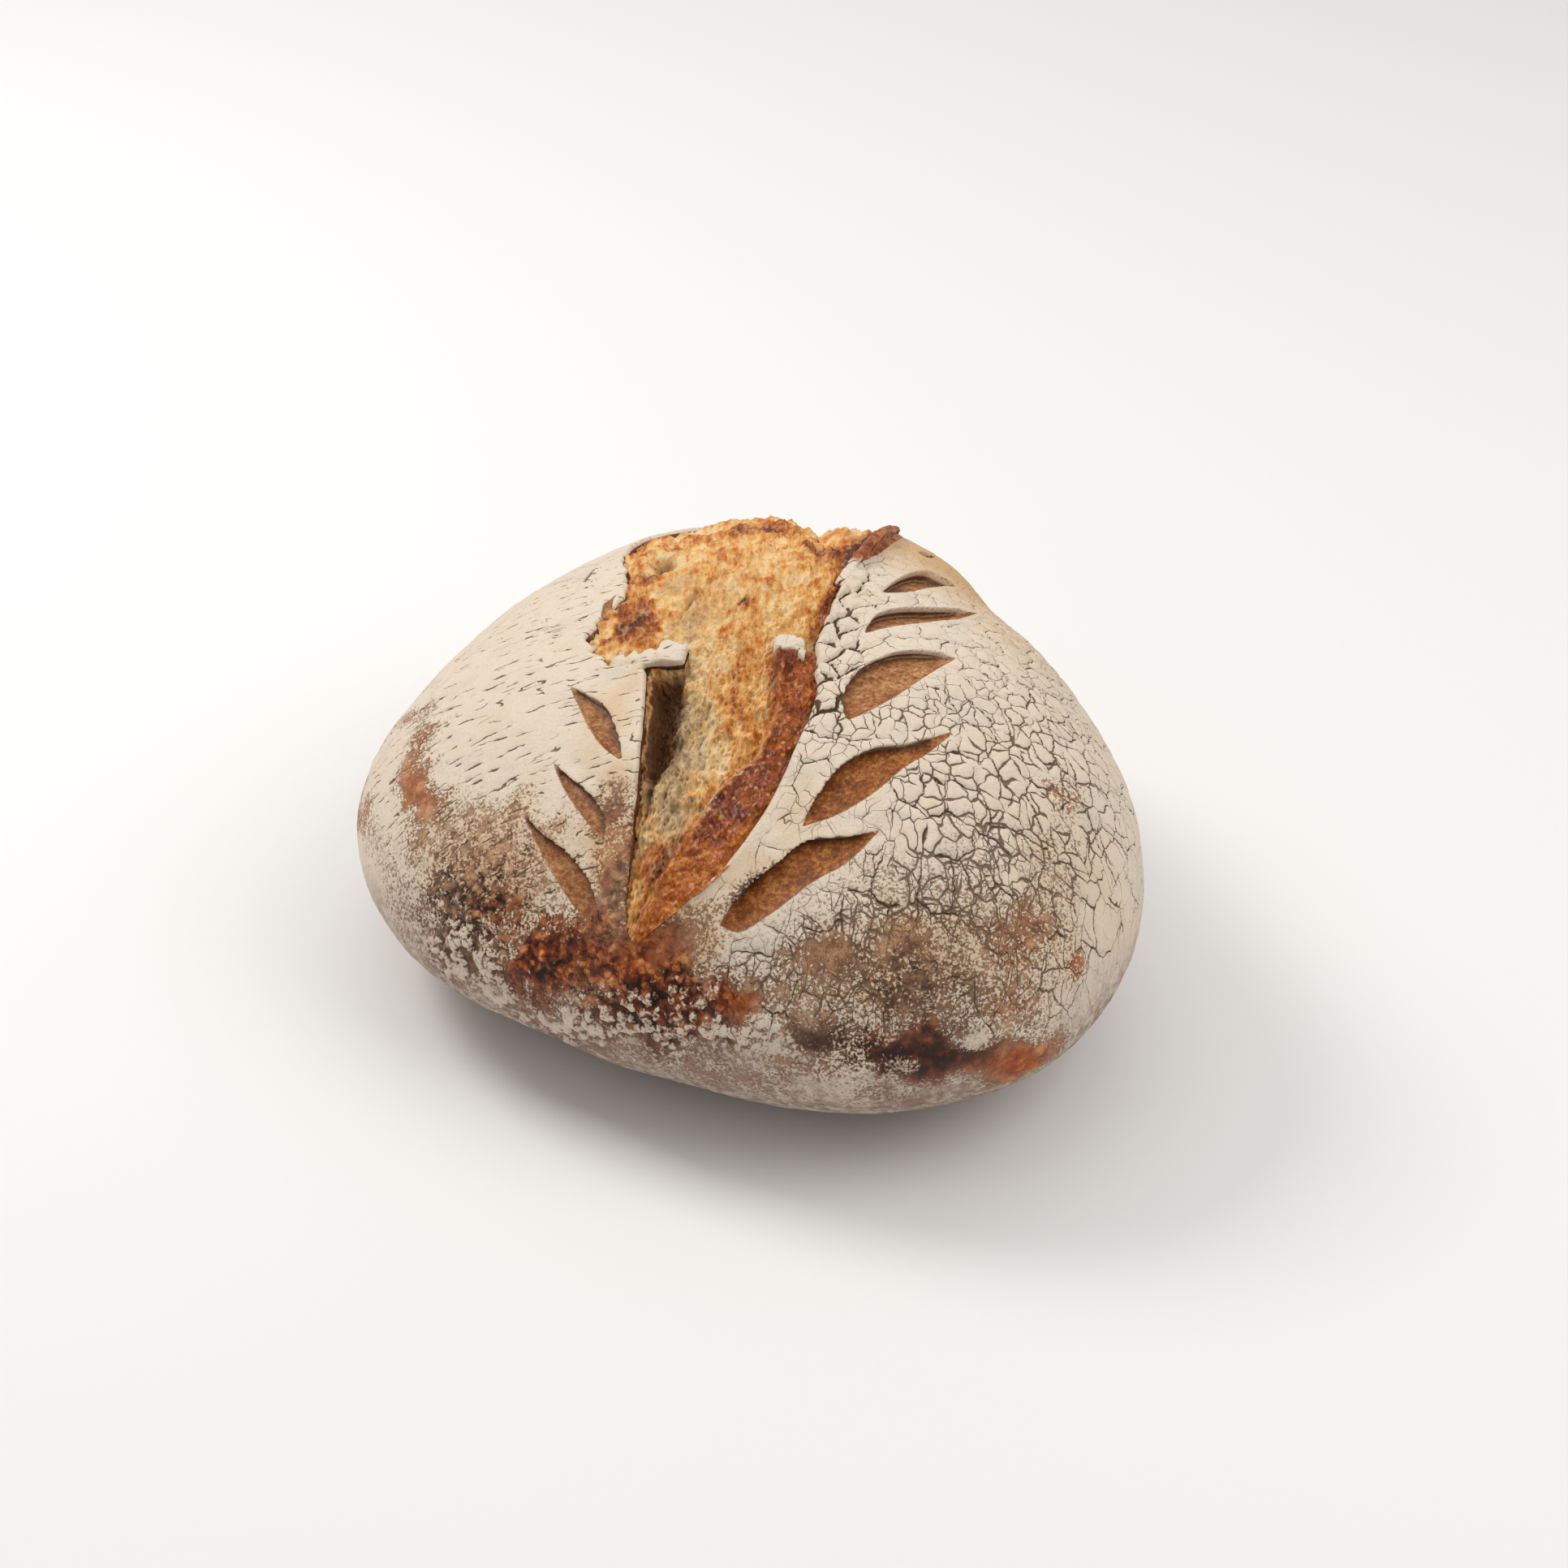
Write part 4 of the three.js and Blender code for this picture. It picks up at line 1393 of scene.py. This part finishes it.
def crumb_relief(v, part, grain):
    """How far the grain rises over the level, in mm. The band is smoother, with blisters."""
    chart = part.chart
    drawn_out = 0.3 + 0.7 * (1 - fade(v, -30, 6))
    fine = soft_noise(chart, 1.1, 13) + 0.7 * soft_noise(chart, 0.6, 14)
    relief = (1 - 0.85 * part.in_band) * (
        0.7 * grain.strands * drawn_out
        + 0.8 * grain.ropes * drawn_out
        + 0.8 * grain.folds * part.puffy
        + 0.6 * grain.shells
        + 1.5 * grain.lumps
        + 1.0 * soft_noise(chart, 5.0, 28)
        + 0.7 * soft_noise(chart, 3.2, 27)
        - 1.4 * grain.craters
        - 0.7 * grain.pores
        + 0.45 * fine
    )
    blisters, _ = bubbles(chart, 1.7, 3)
    swells = 1.1 * soft_noise(chart, 6, 29) + 0.9 * soft_noise(chart, 3.2, 26)
    relief = relief + part.in_band * (1.0 * (0.5 - blisters) + 0.6 * grain.lumps + swells)
    return relief - 6 * part.hole - 1.8 * part.groove + 1.8 * part.ledge


# %% The crumb's patches by name
CRUMB_TOASTED = [
    (-37, 2, 3.8, 12, 0, 0.55),     # the left rim above the flake
    (-36, 24, 3.4, 8, 0, 0.45),
    (-33, 46, 3.5, 9, 0, 0.35),
    (-25, 42, 2.6, 7, 0, 0.25),
    (-32, 1, 2, 5, 0, 0.3),
    (-16, 1, 1.4, 3, 0, 0.5),       # a burnt tip and its streak
    (-19, -7, 1.3, 6, -15, 0.22),
    (-9, 44, 10, 8, 0, 0.4),        # the crest
    (-8, 42, 2.6, 3.5, 0, 0.3),
    (1, 27, 4, 5, 0, 0.4),
    (10, 36, 5, 14, -20, 0.3),
    (-12, 9, 3, 2, 0, 0.2),
    (-3, 7, 3.4, 2.4, 0, 0.22),
    (0, -4, 2, 3, 0, 0.25),
    (-7, -30, 2, 7, 0, 0.3),
    (-15, -31, 5, 15, 0, 0.08),
    (-24, -62, 3.4, 4, 0, 0.35),
    (-15, -20, 4, 5, 0, 0.22),
    (-20, 24, 5, 4, 0, 0.22),
]
# Where the crumb is grey. Beside the gap the grey is also painted darker as the shade of the flap.
CRUMB_GREY_AND_SHADED = [
    (-30, 15, 2.6, 4, 0, 0.6),
    (-26, -2, 2.8, 10, 0, 0.5),
    (-26.5, -38, 4.0, 14, 0, 0.95),
    (-21, -44, 4, 9, 0, 0.4),
    (-24, -51, 3.2, 8, 0, 0.85),
    (-20, 5, 6, 8, 0, 0.2),
]
SCORCHED = [
    (-5, -22, 3.5, 4, 0, 0.8),      # the top of the band
    (-14, -58, 6, 4, 50, 0.7),      # its darkest stretch
    (-8, 43, 3, 4, 0, 0.2),
    (9, 30, 6, 15, -20, 0.7),       # beside the ear
    (-16, 1, 1.2, 2.4, 0, 0.6),
    (-37, 27, 3, 6, 0, 0.25),
]


# %% The crumb's masks
def crumb_masks_at(u, v, height, part, grain):
    """The map address and every colour mask of the crumb for each corner."""
    patches = patches_at(u, v)
    lower = 1 - fade(v, -20, -14)
    toast = 0.28 + 0.09 * grain.ropes + 0.08 * grain.strands + 0.12 * grain.lumps
    toast = toast + 0.08 * grain.folds * part.puffy + 0.05 * grain.shells
    toast = toast - 0.18 * grain.craters - 0.1 * grain.pores + patches(CRUMB_TOASTED)
    rim_width = 3.2 + 2 * fade(v, 10, 30)
    beside_rim = bell(part.inside_rim - 1.5 + 0.8 * part.wander, rim_width)
    beside_rim = beside_rim * (u > -15) * fade(v, -16, -6)
    toast = toast + (0.4 + 0.15 * fade(v, 15, 35)) * beside_rim
    toast = toast + 0.25 * bell(part.from_band + 1.5, 2.5) * lower
    past_strip = fade(part.strip_edge, 1.5, 2.2)
    # Painted shade: the gap is darkened past the torn strip, more where it is wide and deep.
    shade = (0.2 + part.wide) * part.in_gap * past_strip + 0.4 * part.gap_shadow**2
    return {
        "skin": np.stack([u, v, height], -1),
        "toast": np.clip(toast, 0, 1),
        "banded": part.in_band,
        # Painted shade in the gap, in the burst hole and in the groove.
        "dark": np.clip(shade + 0.9 * part.hole + 0.3 * part.groove, 0, 1),
        "torn": part.in_gap * (1 - past_strip),
        "puffy": part.puffy,
        "pale": np.clip(patches(CRUMB_GREY_AND_SHADED), 0, 1) * (1 - part.in_band),
        # Painted highlight along the band's raised left edge.
        "edged": bell(part.from_band - 0.4, 1.3) * bell(v + 51, 7),
        "glossy": part.in_band * (1 - fade(v, -60, -40)),
        "scorched": np.clip(patches(SCORCHED) + 1.1 * part.by_ear, 0, 1),
    }


# %% Build the crumb
ROWS, COLUMNS = ((560, 190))
CRUMB_UNDERLAP = 1.4  # mm that the crumb reaches in under the crust
CRUMB_ROOT = 22.0
crumb_masks = {}


def crumb_patch(along, across, is_top):
    left, right = spline(LEFT_RIM, along), spline(RIGHT_RIM, along)
    span = np.linalg.norm(right - left, axis=1) + 1e-6
    under = CRUMB_UNDERLAP / DEGREE / span
    share = -under + (1 + 2 * under) * across
    at = left + (right - left) * share[:, None]
    u, v = at.T
    part = crumb_parts(u, v)
    grain = crumb_grain(u, v, part)
    height = crumb_level(u, v, share, part) + crumb_relief(v, part, grain)
    crumb_masks.update(crumb_masks_at(u, v, height, part, grain))
    return at[:, 0], at[:, 1], np.where(is_top, height, -CRUMB_ROOT)


crumb = slab("crumb", ROWS, COLUMNS, crumb_patch)
for name, values in crumb_masks.items():
    store(crumb, name, values)
thin_to(crumb, CRUMB_TRIANGLES)
bpy.ops.object.shade_smooth()

# %% [markdown]
# ## Colours of a baked crust
# Flour stays warm ivory, because it only dries. Bare crust goes from pinkish tan through
# chestnut to nearly black. Both are here as plain colours, and the masks and noise mix them.
#
# The layers are built as they lie on the loaf: first the bare crust, where each grain has a tone
# of its own and the tops of lumps are paler than the hollows. Then comes flour, as a thin film
# and as a full cover. Grit, grains and blots of noise push its amount over the limit here and
# there, so it ends in specks and not in a soft blur. Last come what the blade and the tear laid
# open, and the cracks. Image textures could show all this too, but they would have to be
# painted first, and they blur close up.


# %% Material helpers
def hex_colour(text):
    """A colour from its six web digits, made linear as the shader wants it."""
    parts = [int(text[i : i + 2], 16) / 255 for i in (0, 2, 4)]
    return tuple(p / 12.92 if p < 0.04 else ((p + 0.055) / 1.055) ** 2.4 for p in parts) + (1,)


def mix(tree, share, first, second):
    """Mixes two colours, each a socket or web digits."""
    made = tree.nodes.new("ShaderNodeMix")
    made.data_type = "RGBA"
    sockets = [socket for socket in made.inputs if socket.enabled]
    for socket, value in zip(sockets, (share, first, second)):
        if isinstance(value, bpy.types.NodeSocket):
            tree.links.new(value, socket)
        else:
            socket.default_value = hex_colour(value) if isinstance(value, str) else value
    return next(socket for socket in made.outputs if socket.enabled)


def colour_steps(tree, value, steps):
    """A colour ramp through web colours at their places."""
    made = node(tree, "ShaderNodeValToRGB", {"Fac": value})
    line = made.color_ramp
    while len(line.elements) < len(steps):
        line.elements.new(0.5)
    for element, (place, colour) in zip(line.elements, steps):
        element.position = place
        element.color = hex_colour(colour)
    return made.outputs["Color"]


def mask_of(tree, name, vector=False):
    read = node(tree, "ShaderNodeAttribute", attribute_name=name)
    return read.outputs["Vector" if vector else "Fac"]


def masks_of(tree, names):
    return SimpleNamespace(**{name: mask_of(tree, name) for name in names})


def in_mm(tree):
    """The place in the loaf, in mm."""
    place = node(tree, "ShaderNodeTexCoord").outputs["Object"]
    return stretch(tree, place, (1000, 1000, 1000))


def new_material(name):
    """A new material, its node tree and its shader."""
    material = bpy.data.materials.new(name)
    material.use_nodes = True
    return material, material.node_tree, material.node_tree.nodes["Principled BSDF"]


def fine_dents(tree, shader, height, depth):
    """Bump for dents that are too small for the mesh, with their depth in mm."""
    bump = node(
        tree, "ShaderNodeBump", {"Height": height, "Strength": 0.8, "Distance": depth * MM}
    )
    tree.links.new(bump.outputs["Normal"], shader.inputs["Normal"])


def paint_only(piece, material):
    piece.data.materials.clear()
    piece.data.materials.append(material)


# %% Bare crust
def bare_crust(tree, mask, dust, bump):
    """The colour of crust without flour, from tan to nearly black."""
    times, varied = shorthand(tree)
    heat = varied(varied(mask.browned, dust.specks, 0.7), dust.blots, 0.5)
    heat = varied(heat, dust.clouds, 0.4)
    heat = calc(tree, "MULTIPLY_ADD", bump.top, times(mask.lumpy, -0.9), heat)
    heat = calc(tree, "MULTIPLY_ADD", bump.tone, 0.6, heat)
    heat = calc(tree, "MULTIPLY_ADD", bump.dome, -0.18, heat)
    brown = colour_steps(tree, heat, [
        (0.0, "b8906c"), (0.3, "87634a"), (0.55, "5e4130"), (0.8, "3a261d"), (1.0, "1d1512"),
    ])
    red = colour_steps(tree, heat, [
        (0.0, "d48c44"), (0.3, "a24e1a"), (0.55, "6a2a0a"), (0.85, "3a1406"), (1.0, "1f0f0a"),
    ])
    # On the skirt the bare crust turns a dull grey-brown: dust, and painted shade low on the loaf.
    dull_and_shaded = times(mask.skirt, calc(tree, "MULTIPLY_ADD", mask.reddened, -0.5, 0.6))
    return mix(tree, dull_and_shaded, mix(tree, mask.reddened, brown, red), "7c5f50")


# %% How much flour lies where
def flour_amounts(tree, mask, dust, bump):
    """Sockets: how much thin film and how much full cover of flour there is."""
    times, varied = shorthand(tree)
    worn = calc(tree, "SUBTRACT", 1, mask.flour)
    uneven = calc(tree, "MULTIPLY_ADD", worn, 0.5, 0.35)
    uneven = calc(tree, "MULTIPLY_ADD", times(mask.flour, worn), 4.0, uneven)
    coarse = times(uneven, calc(tree, "MULTIPLY_ADD", mask.lumpy, 0.6, 0.4))
    amount = varied(mask.flour, dust.grit, times(uneven, 2.0))
    amount = varied(amount, dust.grains, times(uneven, 1.7))
    amount = varied(varied(amount, dust.specks, coarse), dust.blots, coarse)
    amount = varied(amount, dust.clouds, 0.3)
    amount = calc(tree, "MULTIPLY_ADD", times(mask.reddened, worn), -0.3, amount)
    amount = calc(tree, "MULTIPLY_ADD", bump.top, times(mask.lumpy, 0.9), amount)
    amount = calc(tree, "MULTIPLY_ADD", bump.tone, 0.5, amount)
    amount = calc(tree, "MULTIPLY_ADD", bump.clots, 0.9, amount)
    return times(ramp(tree, amount, 0.15, 0.6), 0.75), ramp(tree, amount, 0.45, 0.9)


# %% The flour's colours
def flour_colours(tree, mask, dust, bump):
    """Sockets: the colour of the thin film and of the full cover."""
    times, varied = shorthand(tree)
    cream = colour_steps(tree, dust.clouds, [(0.3, "cfc3b2"), (0.5, "dacbb8"), (0.75, "d5c4ac")])
    cream = mix(tree, times(mask.tanned, 0.85), cream, "c79c64")
    mottled = varied(dust.blots, dust.specks, 0.9)
    # On the skirt the flour is dusty and mottled, and darker as painted shade low on the loaf.
    dusty_and_shaded = colour_steps(tree, mottled, [(0.3, "74594c"), (0.7, "ccbcb0")])
    cream = mix(tree, times(mask.skirt, 0.9), cream, dusty_and_shaded)
    cream = mix(tree, times(bump.clots, 0.7), cream, "dccbb8")
    shade = calc(tree, "MULTIPLY", calc(tree, "SUBTRACT", 0.6, dust.grit), 0.5, clamp=True)
    cream = mix(tree, shade, cream, "a78f70")

    mottled = varied(dust.specks, dust.blots, 0.6)
    sheer = colour_steps(tree, mottled, [(0.35, "705644"), (0.65, "a18970")])
    film = mix(tree, mask.lumpy, sheer, "9a7757")
    film = mix(tree, mask.skirt, mix(tree, mask.reddened, film, "9e6a42"), "9c897c")
    return film, cream


# %% What the blade and the tear laid open
def opened_colours(tree, mask, dust, place, past_ear, colour):
    """Paints the slashes' floors, paler higher up the loaf, the torn rim and the dark ear."""
    times, varied = shorthand(tree)
    here = in_mm(tree)
    streaks = varied(noise(tree, here, 1.3, 3, 0.7), noise(tree, here, 5, 2), 0.5)
    pale_floor = colour_steps(tree, streaks, [(0.3, "744324"), (0.5, "9e6b42"), (0.7, "c4966a")])
    dark_floor = colour_steps(tree, streaks, [(0.3, "5c2c10"), (0.5, "844818"), (0.7, "b07438")])
    far_up = ramp(tree, place["Y"], -52, -22)
    on_left = times(ramp(tree, place["X"], -20, -32), 0.5)
    floor = mix(tree, calc(tree, "MAXIMUM", far_up, on_left), dark_floor, pale_floor)
    floor = mix(tree, times(mask.shaded, 0.85), floor, "3a1e0e")
    colour = mix(tree, ramp(tree, mask.slash, 0.1, -0.3), colour, floor)

    torn = times(ramp(tree, place["Z"], -0.9, -1.7), ramp(tree, mask.slash, 0.2, 0.8))
    torn_colour = colour_steps(tree, streaks, [(0.35, "3c1f0e"), (0.65, "74482a")])
    colour = mix(tree, torn, colour, torn_colour)

    ear = times(ramp(tree, mask.eared, 0.02, 0.12), ramp(tree, past_ear, 0.6, 0.0))
    ear_colour = colour_steps(tree, varied(dust.specks, dust.blots, 0.8), [
        (0.3, "6c2e14"), (0.5, "96502a"), (0.7, "c07a42"),
    ])
    return mix(tree, ear, colour, ear_colour)


# %% The crust's material
COLOUR_MASKS = (
    "flour", "browned", "reddened", "lumpy", "clotted", "tanned", "skirt", "slash", "shaded",
    "rim", "eared",
)


def crust_material():
    material, tree, shader = new_material("floured_crust")
    times, varied = shorthand(tree)
    skin, home = mask_of(tree, "skin", True), mask_of(tree, "home", True)
    mask = masks_of(tree, COLOUR_MASKS)
    widths = {name: mask_of(tree, name) for name in CRACK_MASKS}
    wide, any_crack, _ = cracks(tree, skin, widths)
    top, own, dome = lumps_of_crust(tree, home)
    tone = times(calc(tree, "SUBTRACT", own, 0.5), mask.lumpy)
    clots = clots_of_flour(tree, home, mask.clotted)
    bump = SimpleNamespace(top=top, tone=tone, dome=dome, clots=clots)

    here = in_mm(tree)
    dust = SimpleNamespace(
        grit=noise(tree, here, 0.8, 3, 0.6),
        grains=noise(tree, here, 1.3, 4, 0.7),
        specks=noise(tree, here, 2.4, 3, 0.65),
        blots=noise(tree, here, 5, 4, 0.65),
        clouds=noise(tree, here, 14, 4, 0.6),
    )

    # No flour lies in the slashes, below the rims or on the ear.
    place = node(tree, "ShaderNodeSeparateXYZ", {"Vector": skin}).outputs
    past_ear = varied(calc(tree, "MULTIPLY_ADD", mask.eared, -4.8, mask.rim), dust.specks, 1.5)
    off_ear = ramp(tree, mask.eared, 0.12, 0.02)
    off_ear = calc(tree, "MAXIMUM", ramp(tree, past_ear, 0.0, 0.6), off_ear)
    on_top = ramp(tree, varied(mask.slash, dust.grit, 0.7), -0.1, 0.3)
    on_top = times(times(on_top, ramp(tree, place["Z"], -1.7, -0.9)), off_ear)
    film, cover = (times(share, on_top) for share in flour_amounts(tree, mask, dust, bump))

    film_colour, cream = flour_colours(tree, mask, dust, bump)
    colour = mix(tree, film, bare_crust(tree, mask, dust, bump), film_colour)
    colour = mix(tree, cover, colour, cream)
    colour = opened_colours(tree, mask, dust, place, past_ear, colour)

    floured = calc(tree, "MAXIMUM", film, cover)
    cracked = times(any_crack, floured)
    colour = mix(tree, times(cracked, 0.85), colour, "583c22")
    colour = mix(tree, times(wide, times(floured, 0.6)), colour, "301f12")
    tree.links.new(colour, shader.inputs["Base Color"])

    rough = calc(tree, "MULTIPLY_ADD", floured, 0.4, 0.45)
    tree.links.new(rough, shader.inputs["Roughness"])
    shader.inputs["Specular IOR Level"].default_value = 0.2
    dents = calc(tree, "ADD", times(dust.grit, 0.35), times(dust.specks, 0.5))
    fine_dents(tree, shader, calc(tree, "SUBTRACT", dents, times(cracked, 0.7)), 0.7)
    return material


paint_only(crust, crust_material())
print("the crust is painted")


# %% [markdown]
# ## Colours of the torn crumb
# Crumb stays cream where the loaf kept it moist, turns gold where its strands dried in the oven
# and brown where their tips burnt. In the low part beside the gap it is grey, painted darker there
# as the shade of the flap, and the gap, the burst hole and the groove get a painted dark brown
# shade. The band's skin took all the heat, so it has a deeper ramp of its own and a little gloss,
# with painted highlights on its bubbles and along its raised edge. The noise is drawn out along
# the tear, because the strands are.

# %% The colour of the open crumb
def crumb_colour(tree, mask, dust):
    """Creamy inside, golden where it stood up to the heat, and grey in the low part, where the grey
    is painted darker as the flap's shade.
    """
    times, varied = shorthand(tree)
    heat = varied(varied(varied(mask.toast, dust.specks, 0.4), dust.threads, 0.4), dust.blots, 0.5)
    heat = varied(heat, dust.fibres, 0.9)
    heat = calc(tree, "MULTIPLY_ADD", mask.scorched, 0.42, heat)
    colour = colour_steps(tree, heat, [
        (0.0, "e6cfa8"), (0.25, "e2c08a"), (0.45, "d89f54"),
        (0.62, "be7028"), (0.8, "984c1c"), (1.0, "5a2c14"),
    ])
    grey = colour_steps(tree, dust.fibres, [(0.35, "6c5440"), (0.5, "a0845f"), (0.65, "d0b48a")])
    # Grey crumb, painted darker beside the gap as the flap's shade.
    colour = mix(tree, times(mask.pale, 0.8), colour, grey)
    least = calc(tree, "MULTIPLY_ADD", mask.puffy, -0.25, 0.35)
    colour = mix(tree, times(ramp(tree, dust.cells, 0.4, 0.15), least), colour, "8f7250")
    return mix(tree, times(ramp(tree, dust.cells, 0.5, 0.8), 0.25), colour, "ecd3a2")


# %% The colour of the band
def band_colour(tree, mask, dust):
    """Chestnut to honey, darkest where it is scorched and along the middle of its gloss."""
    times, varied = shorthand(tree)
    depth = varied(varied(varied(0.5, dust.specks, 0.9), dust.grit, 0.5), dust.blots, 0.5)
    depth = calc(tree, "MULTIPLY_ADD", mask.scorched, -0.3, depth)
    half_glossy = times(mask.glossy, calc(tree, "SUBTRACT", 1, mask.glossy))
    depth = calc(tree, "MULTIPLY_ADD", half_glossy, -0.7, depth)
    depth = calc(tree, "MULTIPLY_ADD", mask.glossy, 0.1, depth)
    return colour_steps(tree, depth, [
        (0.05, "3a1406"), (0.35, "78340e"), (0.6, "a85818"), (0.85, "d89440"),
    ])


# %% The crumb's material
def crumb_material():
    material, tree, shader = new_material("torn_crumb")
    times, _ = shorthand(tree)
    mask = masks_of(tree, [name for name in crumb_masks if name != "skin"])
    here = in_mm(tree)
    bent, drawn = bend(tree, here, 9, 2.0), stretch(tree, bend(tree, here, 4, 1.2), (1, 0.45, 0.7))
    dust = SimpleNamespace(
        grit=noise(tree, here, 0.8, 3, 0.6),
        specks=noise(tree, here, 2.4, 3, 0.65),
        blots=noise(tree, here, 6, 3, 0.6),
        fibres=noise(tree, stretch(tree, bent, (1, 0.2, 0.4)), 2.4, 4, 0.7),
        threads=noise(tree, stretch(tree, here, (1, 0.25, 0.5)), 1.3, 3, 0.6),
        cells=voronoi(tree, drawn, 1.6, flat=False).outputs["Distance"],
    )

    colour = crumb_colour(tree, mask, dust)
    colour = mix(tree, mask.banded, colour, band_colour(tree, mask, dust))
    # Painted highlight: pale specks along the band's raised edge.
    edge_highlight_specks = times(mask.edged, ramp(tree, dust.specks, 0.5, 0.65))
    colour = mix(tree, edge_highlight_specks, colour, "dcbf9d")
    # Painted highlights: light amber glints on the band's bubbles.
    near_bubble = voronoi(tree, here, 2.6, flat=False).outputs["Distance"]
    painted_bubble_glint = times(ramp(tree, near_bubble, 0.32, 0.12), mask.banded)
    colour = mix(tree, times(painted_bubble_glint, 0.5), colour, "d9a06a")
    wall = colour_steps(tree, dust.threads, [(0.35, "8a5228"), (0.65, "c8935a")])
    colour = mix(tree, times(mask.torn, 0.8), colour, wall)
    # The painted shade of the gap, the hole and the groove, in dark brown.
    colour = mix(tree, times(mask.dark, 0.95), colour, "502808")
    tree.links.new(colour, shader.inputs["Base Color"])

    rough = calc(tree, "MULTIPLY_ADD", mask.banded, -0.3, 0.65)
    tree.links.new(rough, shader.inputs["Roughness"])
    shader.inputs["Specular IOR Level"].default_value = 0.3
    dents = calc(tree, "ADD", times(dust.threads, 0.6), times(dust.specks, 0.5))
    fine_dents(tree, shader, calc(tree, "ADD", dents, times(dust.cells, 0.9)), 0.8)
    return material


paint_only(crumb, crumb_material())
print("the crumb is painted")

# %% [markdown]
# ## Handing the pieces over
# The loaf is one body, so both pieces ride on it. Together they take the place of its one plain
# solid.

# %% Hand the pieces over
for piece in (crust, crumb):
    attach(piece, "root")
    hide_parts("loaf")
